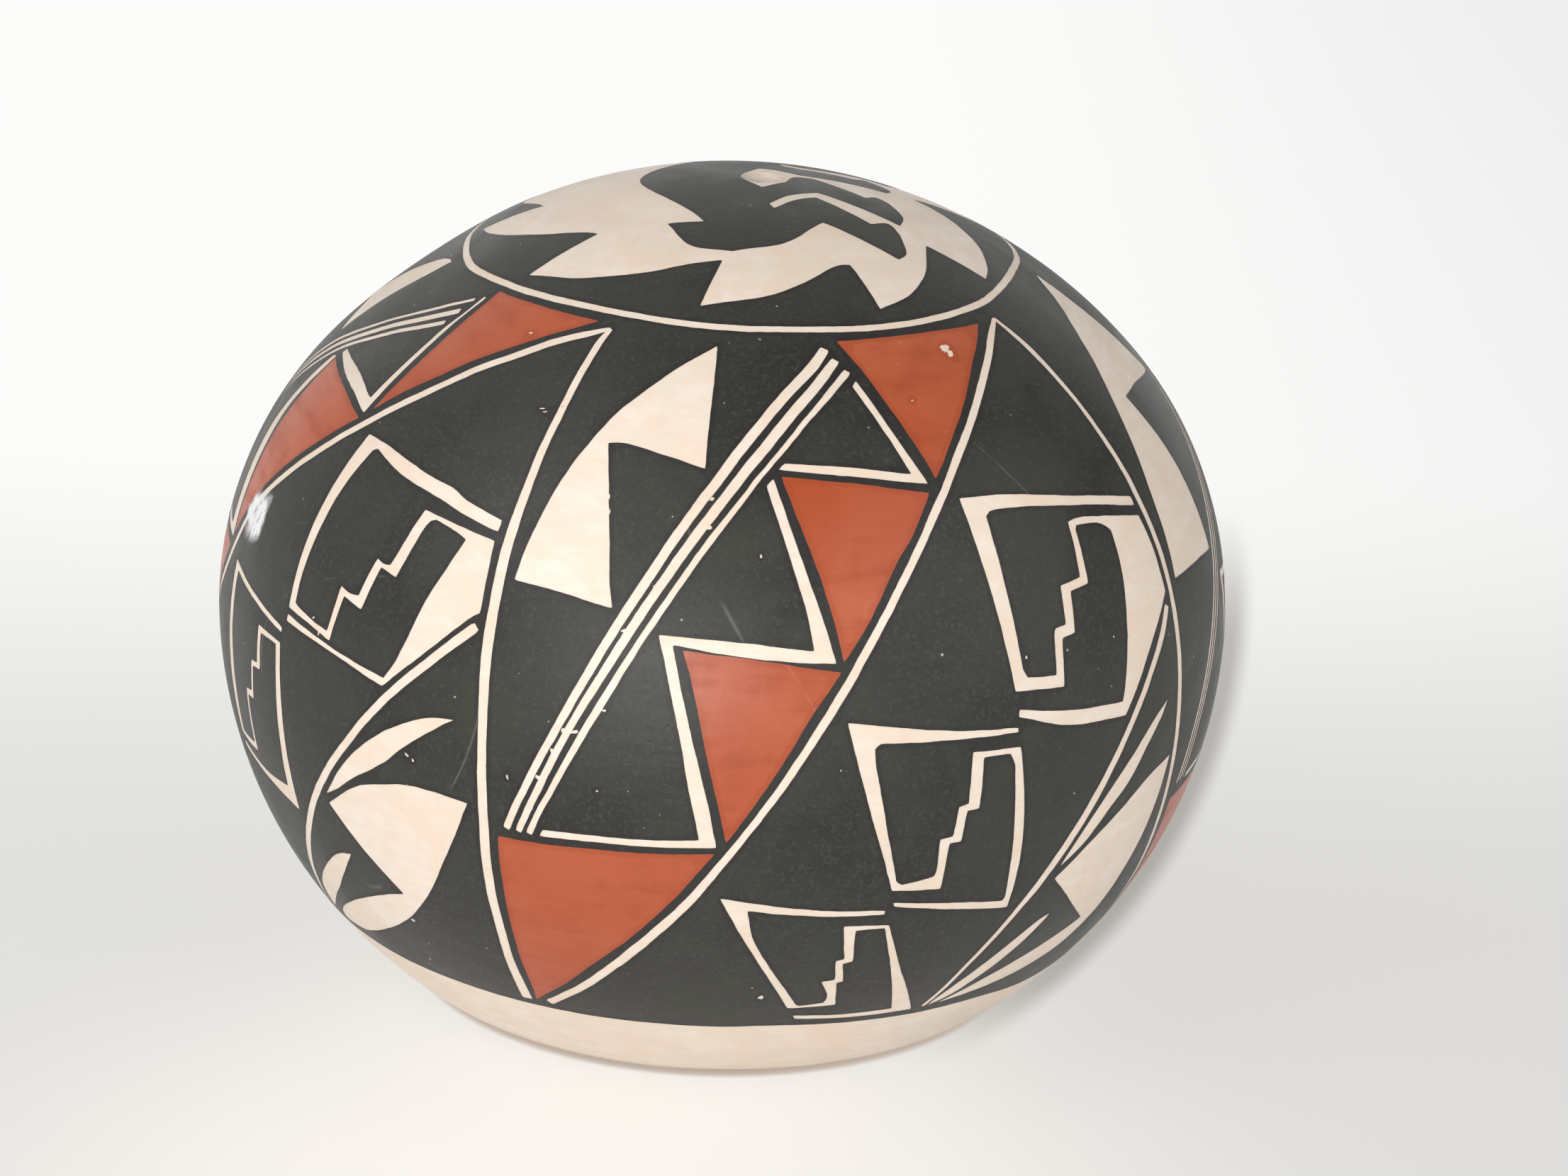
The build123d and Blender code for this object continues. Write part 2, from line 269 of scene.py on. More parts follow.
frontPanel = {
    "side": [((-24.1, 51.6), 0.5), ((-24.85, 49), 0.85), ((-25.2, 41), 0.8), ((-25.4, 32), 0.95),
             ((-25.35, 22), 1.2), ((-24.9, 12), 1.2), ((-24.3, 2), 1.05), ((-24.2, -6), 1.1),
             ((-24.2, -14), 1.1), ((-23.9, -22), 1.05), ((-23.7, -28), 1.15), ((-23.5, -32.8), 1.3)],
    "sweep": [((56.5, 50.4), 0.5), ((51.6, 48.2), 0.85), ((47.7, 46), 0.85), ((41.5, 42), 0.9),
              ((36.4, 38), 0.85), ((31.9, 34), 0.9), ((29, 31), 0.85), ((26.2, 28), 0.9),
              ((22.2, 23), 0.85), ((18, 17.2), 0.85), ((14, 11), 0.95), ((10.2, 5), 0.9), ((6.4, -1), 0.8),
              ((3.15, -6), 0.8), ((-0.95, -12), 0.95), ((-3.95, -16), 1.05), ((-7.3, -20), 1.1),
              ((-10.9, -24), 1.0), ((-14.8, -28), 1.0), ((-18.4, -31), 0.9), ((-20.4, -32.6), 1.0)],
    "stripes": [
        [((16.6, 50.3), 1.0), ((13.9, 48), 1.15), ((8.6, 44), 1.1), ((2.7, 38), 1.1), ((-1.8, 32), 1.05),
         ((-5.7, 26), 1.0), ((-9, 20), 1.0), ((-12.1, 14), 0.95), ((-14.9, 8), 0.9), ((-17.7, 2), 0.8),
         ((-20.4, -4), 0.75), ((-21.6, -6.8), 0.8)],
        [((18, 48.6), 0.9), ((14.7, 46), 1.1), ((8.8, 41), 1.1), ((3.1, 35), 1.1), ((-1.5, 29), 1.05),
         ((-5.5, 23), 1.0), ((-8.9, 17), 0.95), ((-12, 11), 0.9), ((-15, 5), 0.8), ((-17.7, -1), 0.75),
         ((-20.2, -6.9), 0.7)],
        [((19.4, 46.9), 0.8), ((15.5, 44), 0.77), ((11.8, 41), 0.6), ((8.55, 38), 0.57), ((5.6, 35), 0.54),
         ((3, 32), 0.56), ((-1.55, 26), 0.7), ((-5.4, 20), 0.66), ((-8.8, 14), 0.7), ((-11.8, 8), 0.83),
         ((-14.8, 2), 0.73), ((-17.75, -4), 0.64), ((-19, -6.9), 0.7)]],
    "bare": {
        "wing": [(-3.1, 50.8), [(-3, 44), (-2.9, 38), (-2.8, 34.3)], [(-9.2, 35.8), (-14, 36.6),
                 (-16.6, 36.4)], [(-15.1, 32), (-13.3, 26), (-12.3, 21), (-11.5, 18.4)], [(-17.6, 19.4),
                 (-23.4, 19.9)], [(-23.1, 23), (-22.6, 26), (-21.9, 29), (-21, 32), (-19.8, 35),
                 (-18.2, 38), (-16.1, 41), (-13, 44), (-10.7, 46), (-7.9, 48), (-4.5, 50), (-3.1, 50.8)]],
        "upperZigzag": [(19.4, 44.7), [(20.3, 45.5)], [(23, 40), (26.8, 31.8)], [(17, 33.4), (6.8, 34.5)],
                        [(7.6, 35.3)], [(16, 34.6), (24.8, 33.2)], [(22.3, 39), (19.4, 44.7)]],
        "lowerZigzag": [(5.2, 32.6), [(6.1, 33.5)], [(7.7, 29), (9.8, 23), (11.9, 17), (13, 13.5)],
                        [(4.5, 14.1), (-4.6, 15.2)], [(-3.4, 11), (-1.7, 5), (-0.1, -1), (1, -6.3)],
                        [(-8, -6.7), (-17.8, -6.9)], [(-17.4, -6.1)], [(-8, -5.9), (-0.8, -5.5)],
                        [(-1.8, -1), (-3, 5), (-4.6, 11), (-6.2, 16.2)], [(2, 15.8), (10.6, 14.9)],
                        [(9.4, 20), (7.5, 26), (5.2, 32.6)]],
    },
    "red": {
        "redTop": [(19.2, 51.3), [(35.5, 51.2), (51.6, 50.4)], [(50.6, 50), (43.9, 46), (38.6, 42),
                   (34, 38), (29.8, 34), (28, 32.2)], [(27.5, 34), (26, 38), (24.2, 42), (22.4, 46),
                   (21.3, 48), (19.2, 51.3)]],
        "redUpper": [(7.1, 33.7), [(17, 32.6), (26.6, 30.8)], [(22.8, 26), (20.2, 23), (16.3, 17),
                     (13.8, 13.6)], [(13, 17), (11.2, 23), (8.9, 29), (7.1, 33.7)]],
        "redLower": [(-3.5, 14.7), [(4.5, 14), (13.5, 12.6)], [(10.3, 8), (6.8, 2), (3.1, -4), (2, -5.7)],
                     [(0.9, -1), (-0.6, 5), (-2.1, 11), (-3.5, 14.7)]],
        "redBottom": [(-22.6, -7.9), [(-10, -7.6), (0.9, -7)], [(-2.7, -12), (-5.8, -16), (-9.3, -20),
                      (-13.3, -24), (-17.1, -28), (-20.6, -31), (-22.1, -32.5)], [(-22, -28), (-22.4, -20),
                      (-22.6, -12), (-22.6, -7.9)]],
    },
}

# stepped keys between the sweep and the next panel, and the feather beside them
keyTop = [(30.4, 29.7), [(36, 29.4), (41, 28.6), (50, 26.7), (58.6, 24.6)], [(58.6, 23.5)], [(50, 25.6),
          (41, 27.25), (36, 27.8), (34.3, 27.8)], [(33.5, 27.3)], [(33.8, 20), (34.8, 10.5)], [(35.3, 9.5)],
          [(39.2, 9.0)], [(39.4, 13.2), (39.8, 14)], [(41.3, 14.1)], [(41.5, 18.2)], [(44.8, 18.5)],
          [(45.4, 24.6)], [(48, 24.6), (53, 23.6), (58.6, 22.3)], [(59.3, 18), (59.6, 13.2)], [(54.5, 8),
          (49.8, 2.1)], [(41, 3.3), (33.9, 5.5)], [(34, 6.3)], [(41, 4.9), (49.3, 3.8)], [(51, 12),
          (51.9, 18), (52.2, 22.2)], [(50.4, 23.4), (46.6, 24)], [(46.2, 23.5)], [(45.9, 17.6)],
          [(42.9, 17.4)], [(42.5, 13)], [(40.5, 12.8)], [(40.2, 7.6)], [(33.6, 8.3)], [(31.4, 22),
          (30.4, 29.7)]]
keyMiddle = [(14.2, 7.4), [(25, 5.6), (33.9, 4.4)], [(33.9, 3.9)], [(27, 4.4), (17.8, 4.9)], [(17.15, 4.4)],
             [(17.5, 1.5), (19, -5), (20.5, -11.3)], [(21.2, -11.9)], [(24.8, -11.4)], [(25.2, -10.8),
             (25.1, -6.8)], [(26.6, -6.7)], [(26.9, -3.2)], [(28.1, -3)], [(28.2, 2.8)], [(34.2, 2.2)],
             [(35.3, -5), (36, -12), (36, -18)], [(28, -16.3), (20.9, -14.8)], [(20.6, -14.2)],
             [(28, -15.4), (35, -16.8)], [(35.2, -16.3)], [(34.6, -10), (33.5, 0.4)], [(32.9, 1.7)],
             [(29.6, 2)], [(29.5, -3.8)], [(28, -3.8)], [(27.7, -7.5)], [(26.3, -7.4)], [(26.1, -13.2)],
             [(20.2, -12.6)], [(16, 0.5), (14.2, 7.4)]]
keyBottom = [(1.5, -12.6), [(11.6, -14.2), (20, -15.15)], [(20, -15.75)], [(11.7, -15.1), (4.5, -14.2)],
             [(6, -19.5), (11.5, -29.4)], [(11.9, -29.7)], [(15, -29.4)], [(15.2, -28), (14, -25.3)],
             [(15.6, -25.2)], [(15.2, -22)], [(16.2, -21.9)], [(15.4, -16.8)], [(20.8, -17.3)],
             [(23.4, -23.9), (25.7, -28.4), (28.3, -33.4)], [(20, -33.2), (11.8, -32.5)], [(11.5, -31.7)],
             [(18, -32.3), (25, -32.4)], [(22.3, -24), (20.4, -17.7)], [(16.9, -17.6)], [(17.3, -22.4)],
             [(16.1, -22.6)], [(16.7, -25.6)], [(15.9, -25.7)], [(16.6, -30.1)], [(10.6, -30.1)],
             [(4, -17.5), (1.5, -12.6)]]
feather = {
    "upperBlade": [(58.5, 1.6), [(57.3, 0), (54.4, -3), (52, -6), (48.6, -9), (45.7, -12), (42.6, -14.3)],
                   [(43.8, -12), (45.9, -9), (48.5, -6), (51.8, -3), (55.5, 0), (58.5, 1.6)]],
    "broadBlade": [(42.3, -15.8), [(47.2, -12), (52.2, -9), (56, -7), (60.6, -5.8)], [(60.2, -9),
                   (59.5, -14), (58.3, -19), (56.3, -24.5), (53.3, -28), (49.9, -30), (42.6, -32),
                   (32, -33.3)], [(38.8, -30), (43.8, -28), (52.3, -25)], [(48.8, -22), (45.6, -19),
                   (42.3, -15.8)]],
    "lowerBlade": [(44, -21.2), [(43.7, -22), (41.3, -25), (38.4, -28), (36.2, -30), (33.7, -32),
                   (30.6, -33.4)], [(31.5, -32), (33.3, -30), (35.3, -28), (38.3, -25), (42, -22),
                   (44, -21.2)]],
}
featherLine = [((59.4, 11.8), 1.0), ((57.5, 9), 1.0), ((54.1, 5), 1.0), ((50.3, 0), 1.0), ((46.2, -6), 1.2),
               ((42.3, -12), 1.2), ((39.8, -16), 1.1), ((37.8, -19), 0.9), ((34.3, -25), 0.7),
               ((31.8, -30), 0.65), ((29.9, -33.3), 0.6)]

leftPanel = {
    "sweep": [((-24.1, 51.6), 0.5), ((-28.7, 50), 0.95), ((-33.6, 48), 1.0), ((-38.85, 45), 1.0),
              ((-43.65, 42), 1.0), ((-50.7, 36), 1.0), ((-56, 31), 0.95), ((-60.25, 27), 0.95),
              ((-65.2, 22), 0.9), ((-70.7, 16), 0.95), ((-74, 10), 1.0), ((-76.6, 6), 0.95),
              ((-80, 2), 0.9), ((-84, -4), 0.9), ((-89, -12), 1.0), ((-94.6, -20), 1.1),
              ((-101.5, -28), 1.0), ((-106.2, -32.6), 1.0)],
    "stripes": [
        [((-60.2, 50.2), 0.5), ((-65.1, 48), 0.55), ((-70.7, 45), 0.55), ((-75.75, 42), 0.55),
         ((-79.8, 39), 0.6), ((-83.7, 36), 0.7), ((-87.4, 32.6), 0.8), ((-92.3, 26), 0.9),
         ((-95.3, 20), 0.9), ((-98.3, 14), 0.9), ((-101.1, 8), 0.85), ((-103.8, 2), 0.8),
         ((-106.4, -4), 0.75), ((-107.6, -6.8), 0.8)],
        [((-60.6, 48), 0.9), ((-66.9, 45), 0.9), ((-72.5, 42), 0.9), ((-77, 39), 0.9), ((-81.1, 36), 0.85),
         ((-84.7, 33), 0.85), ((-90.2, 26.4), 0.85), ((-93.6, 20), 0.85), ((-96.8, 14), 0.8),
         ((-99.8, 8), 0.8), ((-102.5, 2), 0.75), ((-105.2, -4), 0.7), ((-106.3, -6.9), 0.7)],
        [((-61, 45.8), 0.7), ((-69.1, 42), 0.7), ((-74, 39), 0.7), ((-78.7, 36), 0.65), ((-82.3, 33), 0.65),
         ((-88.2, 26.2), 0.65), ((-91.9, 20), 0.65), ((-95.3, 14), 0.65), ((-98.4, 8), 0.65),
         ((-101.2, 2), 0.65), ((-104, -4), 0.6), ((-105.1, -6.9), 0.65)]],
    "bare": {
        "wing": [(-85.7, 50.8), [(-87.2, 48), (-88.6, 45), (-89.8, 42), (-90.2, 39), (-90, 34.2)],
                 [(-92, 34.5), (-98, 36.2), (-102.6, 36.4)], [(-101.1, 32), (-99.6, 26), (-98.9, 21),
                 (-98.6, 18.4)], [(-103.6, 19.4), (-109.4, 19.9)], [(-109.1, 23), (-107.9, 29),
                 (-105.8, 35), (-102.1, 41), (-98.3, 44.9), (-93, 48.6), (-88.5, 50.4), (-85.1, 50.8)]],
        "upperZigzag": [(-58.6, 51.2), [(-57.6, 51)], [(-58.2, 48), (-58.5, 45), (-58.2, 39), (-58, 31.7)],
                        [(-65, 33), (-78.6, 34.5)], [(-78.4, 35.2)], [(-68, 35), (-59.4, 33.5)],
                        [(-59.6, 42), (-59.7, 45), (-59, 48), (-58.6, 51.2)]],
        "lowerZigzag": [(-80.4, 33.4), [(-79, 33.6)], [(-78.9, 31), (-79.4, 25), (-78, 19), (-76, 10.2)],
                        [(-84, 10.3), (-93.4, 11.2)], [(-92.3, 8), (-90.3, 3), (-87.5, -3), (-86, -6.5)],
                        [(-94, -6.8), (-103.8, -6.9)], [(-103.4, -6.1)], [(-94, -5.9), (-87.9, -5.7)],
                        [(-89.5, -2), (-92, 3.5), (-94, 9), (-95.2, 12.2)], [(-87, 11.3), (-78.7, 11)],
                        [(-81, 19), (-81.8, 23), (-81.3, 27), (-80.4, 33.4)]],
        "keyTop": [(-53.9, 30), [(-48, 29.7), (-40, 28.4), (-35.5, 27.8), (-32.7, 26.9), (-27.1, 25.7)],
                   [(-27.1, 24.4)], [(-32, 25.3), (-36, 26.2), (-44, 27.4), (-50.6, 29)], [(-51.3, 28.6)],
                   [(-52.6, 24), (-53.2, 20), (-53.6, 14), (-53.5, 10)], [(-50, 9.3), (-46.9, 8.9)],
                   [(-46.7, 10), (-46.3, 14.1)], [(-44.9, 13.7), (-43.2, 13.8)], [(-42.1, 18.3)],
                   [(-41, 17.9), (-39.9, 18)], [(-38, 24.8)], [(-33, 24.2), (-27.1, 23.4)], [(-26.8, 19),
                   (-26.6, 15.7)], [(-27.2, 15.4)], [(-32, 10.7), (-37.4, 5.6)], [(-45, 6.9), (-54.5, 7.7)],
                   [(-54.5, 8.5)], [(-46, 7.5), (-37.3, 6.5)], [(-36, 8.6), (-34.8, 12), (-33.6, 16),
                   (-32.4, 19), (-30.8, 22.9)], [(-33, 23.6), (-35.8, 24.1)], [(-36.9, 23.2), (-38.6, 17)],
                   [(-41.1, 17.5)], [(-42.3, 12.5)], [(-45.4, 13.2)], [(-46.2, 8)], [(-50, 8.7),
                   (-54.6, 9.2)], [(-54.9, 16), (-54.8, 22), (-53.9, 30)]],
        "keyMiddle": [(-71.3, 9.2), [(-65, 8.3), (-55.1, 6.7)], [(-55.1, 6.1)], [(-62, 7.2), (-69.8, 8.3)],
                      [(-69.4, 2), (-68.8, -6), (-68.6, -10.2)], [(-64.1, -10.1)], [(-64.2, -3.3)],
                      [(-62.4, -3)], [(-62.2, 0.8)], [(-60.6, 0.9)], [(-60.8, 5.3)], [(-58, 5.2),
                      (-55.1, 5)], [(-54.4, -2), (-54.2, -8), (-54.1, -14.7)], [(-62, -13.4),
                      (-69.8, -12.5)], [(-69.5, -11.7)], [(-62, -12.5), (-55.7, -12.2)], [(-55.5, -5),
                      (-55.8, 2), (-56.1, 4.6)], [(-60, 4.6)], [(-59.7, 0.4)], [(-61.7, 0.2)],
                      [(-61.9, -3.9)], [(-63.6, -3.9)], [(-63.3, -10.8)], [(-66, -11), (-70, -10.9)],
                      [(-70.6, -5), (-70.9, 2), (-71.3, 9.2)]],
        "upperBlade": [(-27.8, 4.2), [(-29.6, 3), (-33.6, 0), (-37.1, -3), (-41.4, -6), (-44.6, -8.4),
                       (-46.8, -9.7)], [(-43.9, -6), (-41.3, -3), (-37.8, 0), (-34.6, 2), (-31, 3.7),
                       (-27.8, 4.2)]],
        "broadBlade": [(-46.6, -10.8), [(-42, -7.5), (-38.7, -6), (-34, -4.7), (-30, -4.5), (-26, -4.8)],
                       [(-26.6, -6), (-27.8, -9), (-29.3, -12), (-30.9, -15), (-32.8, -18), (-35.2, -21),
                       (-38.2, -24), (-42.5, -27), (-48, -30), (-52.4, -31.8), (-58, -32.6)],
                       [(-56.7, -30.6), (-51.6, -27), (-46.5, -24), (-40.4, -21), (-37.2, -19.7)],
                       [(-39, -18), (-42.4, -15), (-46.6, -10.8)]],
        "lowerBlade": [(-44.8, -16.9), [(-45.6, -18), (-48.1, -21), (-51, -24), (-54.4, -27),
                       (-58.6, -30.4), (-60.6, -31.6)], [(-58, -27), (-55.1, -24), (-51.7, -21),
                       (-47.7, -18), (-44.8, -16.9)]],
    },
    "red": {
        "redTop": [(-55.9, 52.6), [(-42, 52.7), (-27.3, 52.4)], [(-32.9, 50), (-37.1, 48), (-42.5, 45),
                   (-46.9, 42), (-50.4, 39), (-53.7, 36), (-56.8, 32.5)], [(-56.6, 38), (-56.6, 45),
                   (-55.9, 52.6)]],
        "redUpper": [(-78.5, 33.5), [(-68, 32.6), (-58.2, 31)], [(-60.4, 29), (-64.4, 25), (-69.9, 19),
                     (-72.5, 15.5), (-75.6, 10.8)], [(-76.6, 16), (-77.9, 23), (-78, 27), (-78.5, 33.5)]],
        "redLower": [(-91.2, 10.1), [(-84, 9.4), (-76.3, 9.2)], [(-78.4, 6), (-81.5, 2), (-84, -2),
                     (-85.9, -5.4)], [(-87, -2), (-89.2, 3.5), (-91.2, 10.1)]],
        "redBottom": [(-109, -7.9), [(-97, -7.6), (-88, -7.2)], [(-91, -12), (-93.7, -16), (-96.6, -20),
                      (-99.9, -24), (-103.5, -28), (-106.4, -31), (-108, -32.4)], [(-108, -28),
                      (-108.6, -20), (-109, -12), (-109, -7.9)]],
    },
    "featherLine": [((-26.6, 14.3), 1.1), ((-31.2, 10), 1.0), ((-35.3, 6), 0.95), ((-38.9, 2), 0.9),
                    ((-43, -3), 0.9), ((-47.8, -9), 0.95), ((-52, -15), 1.0), ((-56, -21), 0.95),
                    ((-59.6, -27), 0.8), ((-62.6, -32.4), 0.7)],
}

rightPanel = {
    "side": [((56.4, 50.5), 0.5), ((58, 45), 0.85), ((59.1, 36), 0.75), ((59.8, 26), 0.9),
             ((60.7, 16), 0.9), ((61.1, 6), 1.0), ((61.8, -5), 1.1), ((63, -15), 1.1), ((64.9, -24), 1.1),
             ((66.2, -32.8), 1.2)],
    "sweep": [((150, 50.3), 1.2), ((146, 48.4), 1.0), ((141.5, 46), 0.95), ((135, 42), 0.9),
              ((130, 38), 0.9), ((125.5, 34), 0.9), ((122, 30.6), 0.9), ((116.2, 22.5), 0.9),
              ((111.4, 15.6), 0.9), ((107.6, 8.6), 0.9), ((103.8, 2), 0.85), ((98, -4), 0.85),
              ((93.2, -8), 0.9), ((88.6, -12), 1.0), ((84.8, -16), 1.05), ((81.2, -20), 1.1),
              ((77.2, -24), 1.0), ((73.2, -28), 1.0), ((69.5, -32.6), 1.0)],
    "stripes": [
        [((112, 50.3), 1.0), ((107, 46), 1.05), ((100.5, 39), 1.0), ((93.4, 31), 0.95), ((88, 25), 0.85),
         ((83.5, 20), 0.8), ((79.2, 15), 0.75), ((75.6, 10), 0.7), ((72.4, 5), 0.7), ((69.7, 0), 0.65),
         ((67.5, -5), 0.6), ((65.7, -11.4), 0.6)],
        [((113.4, 48.5), 0.9), ((108.7, 44), 0.95), ((102.1, 37), 0.9), ((95.1, 30.3), 0.85),
         ((89.4, 24.4), 0.8), ((84.7, 19.6), 0.7), ((80.6, 14.7), 0.7), ((77, 10), 0.65), ((73.6, 5), 0.6),
         ((70.7, 0), 0.6), ((68.5, -5), 0.55), ((66.7, -11.4), 0.5)],
        [((114.8, 46.7), 0.8), ((110.3, 42), 0.8), ((103.7, 35.5), 0.7), ((96.9, 29.6), 0.7),
         ((90.9, 23.8), 0.7), ((86, 19.2), 0.7), ((82.1, 14.5), 0.65), ((78.4, 10), 0.6), ((74.9, 5), 0.6),
         ((71.8, 0), 0.55), ((69.5, -5), 0.55), ((67.7, -11.4), 0.5)]],
    "bare": {
        "wing": [(88.3, 50.8), [(88.5, 45), (90, 38), (91.9, 32.4)], [(90.5, 32.2), (80, 33.8), (72.5, 34)],
                 [(74.5, 25), (76, 13.2)], [(70, 13.8), (62.6, 13.9)], [(63, 20), (63.7, 25), (65.5, 30),
                 (67.5, 34), (70.3, 38), (75, 43), (80, 46.5), (85, 49.5), (88.3, 50.8)]],
        "upperZigzag": [(117.2, 47.4), [(118.4, 48.4)], [(119.5, 42), (120.6, 32.8)], [(112, 33.6),
                        (101.8, 33.9)], [(102.4, 34.8)], [(110, 34.6), (118.6, 34.1)], [(118.2, 40),
                        (117.2, 47.4)]],
        "lowerZigzag": [(100, 31), [(101.3, 31.9)], [(101.6, 26), (102.5, 18), (104, 10), (105, 6.2)],
                        [(95, 6.2), (88, 6.7), (81.8, 7.8)], [(82.8, 3), (84.2, -3), (86, -11.5)],
                        [(78, -12), (68.8, -12)], [(69.2, -11.2)], [(77, -11.2), (84, -10.7)], [(82.8, -5),
                        (81.3, 1), (79.8, 9.3)], [(88, 7.7), (95, 7.2), (102.9, 7.2)], [(101.8, 14),
                        (100.6, 22), (100, 31)]],
    },
    "red": {
        "redTop": [(119.4, 51.2), [(131, 51.3), (147.4, 50.6)], [(144.6, 49.2), (139.6, 46), (133.4, 42),
                   (128.6, 38), (124.2, 34), (122.2, 32.1)], [(121.7, 38), (120.8, 44), (119.4, 51.2)]],
        "redUpper": [(103, 32.9), [(111, 32.6), (120.6, 31.4)], [(115.6, 23.6), (110.9, 17), (107.7, 11),
                     (106.1, 7.9)], [(105, 12), (103.9, 19), (103, 26), (103, 32.9)]],
        "redLower": [(82.9, 6.4), [(94, 5.2), (104.9, 5)], [(102.2, 1.6), (96.6, -4), (91.6, -8),
                     (88.2, -10.8)], [(86.2, -5), (84.5, 1), (82.9, 6.4)]],
        "redBottom": [(64.9, -13), [(76, -12.9), (87, -12.6)], [(83.4, -16), (79.8, -20), (75.9, -24),
                      (71.8, -28), (67.9, -32.5)], [(66.9, -28), (65.6, -20), (64.9, -13)]],
    },
}

crownPaint = {
    "ring": [(-100, 52.5), (-90, 52.9), (-75, 53), (-65, 53.6), (-55, 54), (-30, 54.3), (0, 53.6),
             (10, 53.5), (25, 53), (40, 52.8), (57, 53), (70, 53.7), (80, 53.9), (90, 53.5), (110, 53),
             (140, 53.4), (170, 53.9), (200, 53.3), (230, 52.8)],
    "ringWidth": 0.95,
    "bandLow": [(-70, -33.7), (-40, -33.6), (-25, -33.8), (0, -34), (10, -33.8), (20, -34.3), (30, -34.6),
                (40, -34.9), (50, -36.1), (62, -36.2), (80, -34.4), (110, -33.8), (150, -34.6), (190, -34),
                (240, -34.2)],
    # star points and inner corners in the plan, in degrees from the top
    "star": [(-35, 4.3), [(-33.5, -1), (-30, -6.5), (-25, -11), (-19.5, -14), (-18.2, -15)], [(-27, -20.2)],
             [(-20, -24.5), (-12, -25.8), (-6, -24.8), (-2.1, -24.2)], [(-4.6, -32.8)], [(3, -31),
             (8, -27.5), (12, -23), (13.8, -22)], [(18, -29.3)], [(21.5, -25), (23.5, -19), (23.6, -13),
             (23.6, -11.5)], [(31.8, -13.5)], [(32, -10), (31, -4), (28, 2), (25, 5.5), (22.3, 7.5)],
             [(31.5, 13)], [(30.5, 17), (27.4, 20.4), (23, 22.4), (18.4, 22)], [(25, 27)], [(18, 30),
             (12, 30), (6, 28), (3.6, 25.6)], [(3.5, 35)], [(-2, 33), (-7, 29), (-9.5, 25), (-9.6, 22.4)],
             [(-17.5, 28.8)], [(-23.5, 25.5), (-28, 19), (-29.8, 11), (-26.2, 1.3)], [(-35, 4.3)]],
    "figure": [(-4.9, 18.6), [(-13.6, 2.2), (-4.7, -15)], [(-9.4, -15)], [(-6.3, -20.8), (-1, -22.3)],
               [(5.5, -19.5), (10.2, -12.8)], [(20, -17.8)], [(21, -15.5), (20.1, -11)], [(18.6, -8.6),
               (16.3, -10.3)], [(9.2, -5.1)], [(6.6, -7), (3.9, -10.6)], [(3.2, -9.2)], [(5.6, -5.8),
               (9.3, -3)], [(20.2, -8.1)], [(20.5, -4.5), (18.6, -0.4)], [(17, 0.7), (15.6, -0.9)],
               [(8.6, 3.6)], [(6.2, 2.9), (5.2, -0.3)], [(2.1, -3.5)], [(-0.6, 1.3), (1.7, 7)],
               [(3.6, 6.7)], [(7, 4.7)], [(18.5, 5.3)], [(18.9, 8), (15.6, 11.6)], [(14.2, 9.5)],
               [(7, 9.7)], [(5, 10.8), (4, 13)], [(4.8, 13.6)], [(6.8, 12), (9, 11.8)], [(16, 14)],
               [(18.5, 13.2), (20, 16)], [(20.6, 19), (19.8, 21)], [(10.2, 17.2)], [(6, 22), (-1, 23.6)],
               [(-6.5, 22.8), (-9.3, 18.9)], [(-4.9, 18.6)]],
}

brush = {
    "step": 0.00065,     # spacing of points along a painted edge
    "planStep": 0.0012,  # metres for a degree of the plan, near the crown
    "ringSteps": 900,    # points round a closed line
    "rounding": 0.1,     # share that each neighbour takes of a corner
    # slow wander of the hand, fine tremble of the bristles, and the least radius that they are turned on
    "wander": 0.00014, "wanderScale": 9, "narrowest": 0.004,
    "tremble": 0.00007, "trembleScale": 34, "bristle": 0.6, "bristleScale": 85,
    # spacing inside the painted fields and the slip, and how far from the top each goes, in degrees
    "grid": 1.5, "slipGrid": 1.7, "paintReach": 124, "slipReach": 142,
    "clear": 0.3,        # share of the grid kept free beside an edge
    "cell": 2.0,         # cells of the plan for finding the shapes over a place, in degrees
    "paintLift": 0.00004, "paintSink": 0.00005,
}
metresPerDegree = math.radians(1) * pot["bodyRadius"]


def spanOf(first, last):
    # length along the wall between two near places
    middle = (first[1] + last[1]) / 2
    across = math.radians(last[0] - first[0]) * reachAt(middle) * cosOf(middle)
    return math.hypot(across, math.radians(last[1] - first[1]) * reachAt(middle))


def planSpan(first, last):
    # the same for two places on the crown's plan
    return math.dist(first, last) * brush["planStep"]


def curveAt(before, a, b, after, t):
    # Catmull-Rom from a to b
    return 0.5 * (2 * a + (b - before) * t + (2 * before - 5 * a + 4 * b - after) * t * t
                  + (3 * a - before - 3 * b + after) * t ** 3)


def smoothRun(points, span=spanOf):
    # a curve through the points, at the brush's step; the last point is left to the next run
    run = []
    for index in range(len(points) - 1):
        a, b = points[index], points[index + 1]
        before = points[index - 1] if index else (2 * a[0] - b[0], 2 * a[1] - b[1])
        after = points[index + 2] if index + 2 < len(points) else (2 * b[0] - a[0], 2 * b[1] - a[1])
        steps = max(1, round(span(a, b) / brush["step"]))
        for step in range(steps):
            run.append(tuple(curveAt(*marks, step / steps) for marks in zip(before, a, b, after)))
    return run


def outlineOf(shape, span=spanOf):
    outline, corner = [], shape[0]
    for run in shape[1:]:
        outline += smoothRun([corner, *run], span)
        corner = run[-1]
    if math.dist(corner, shape[0]) > 1e-6:
        outline += smoothRun([corner, shape[0]], span)
    return outline


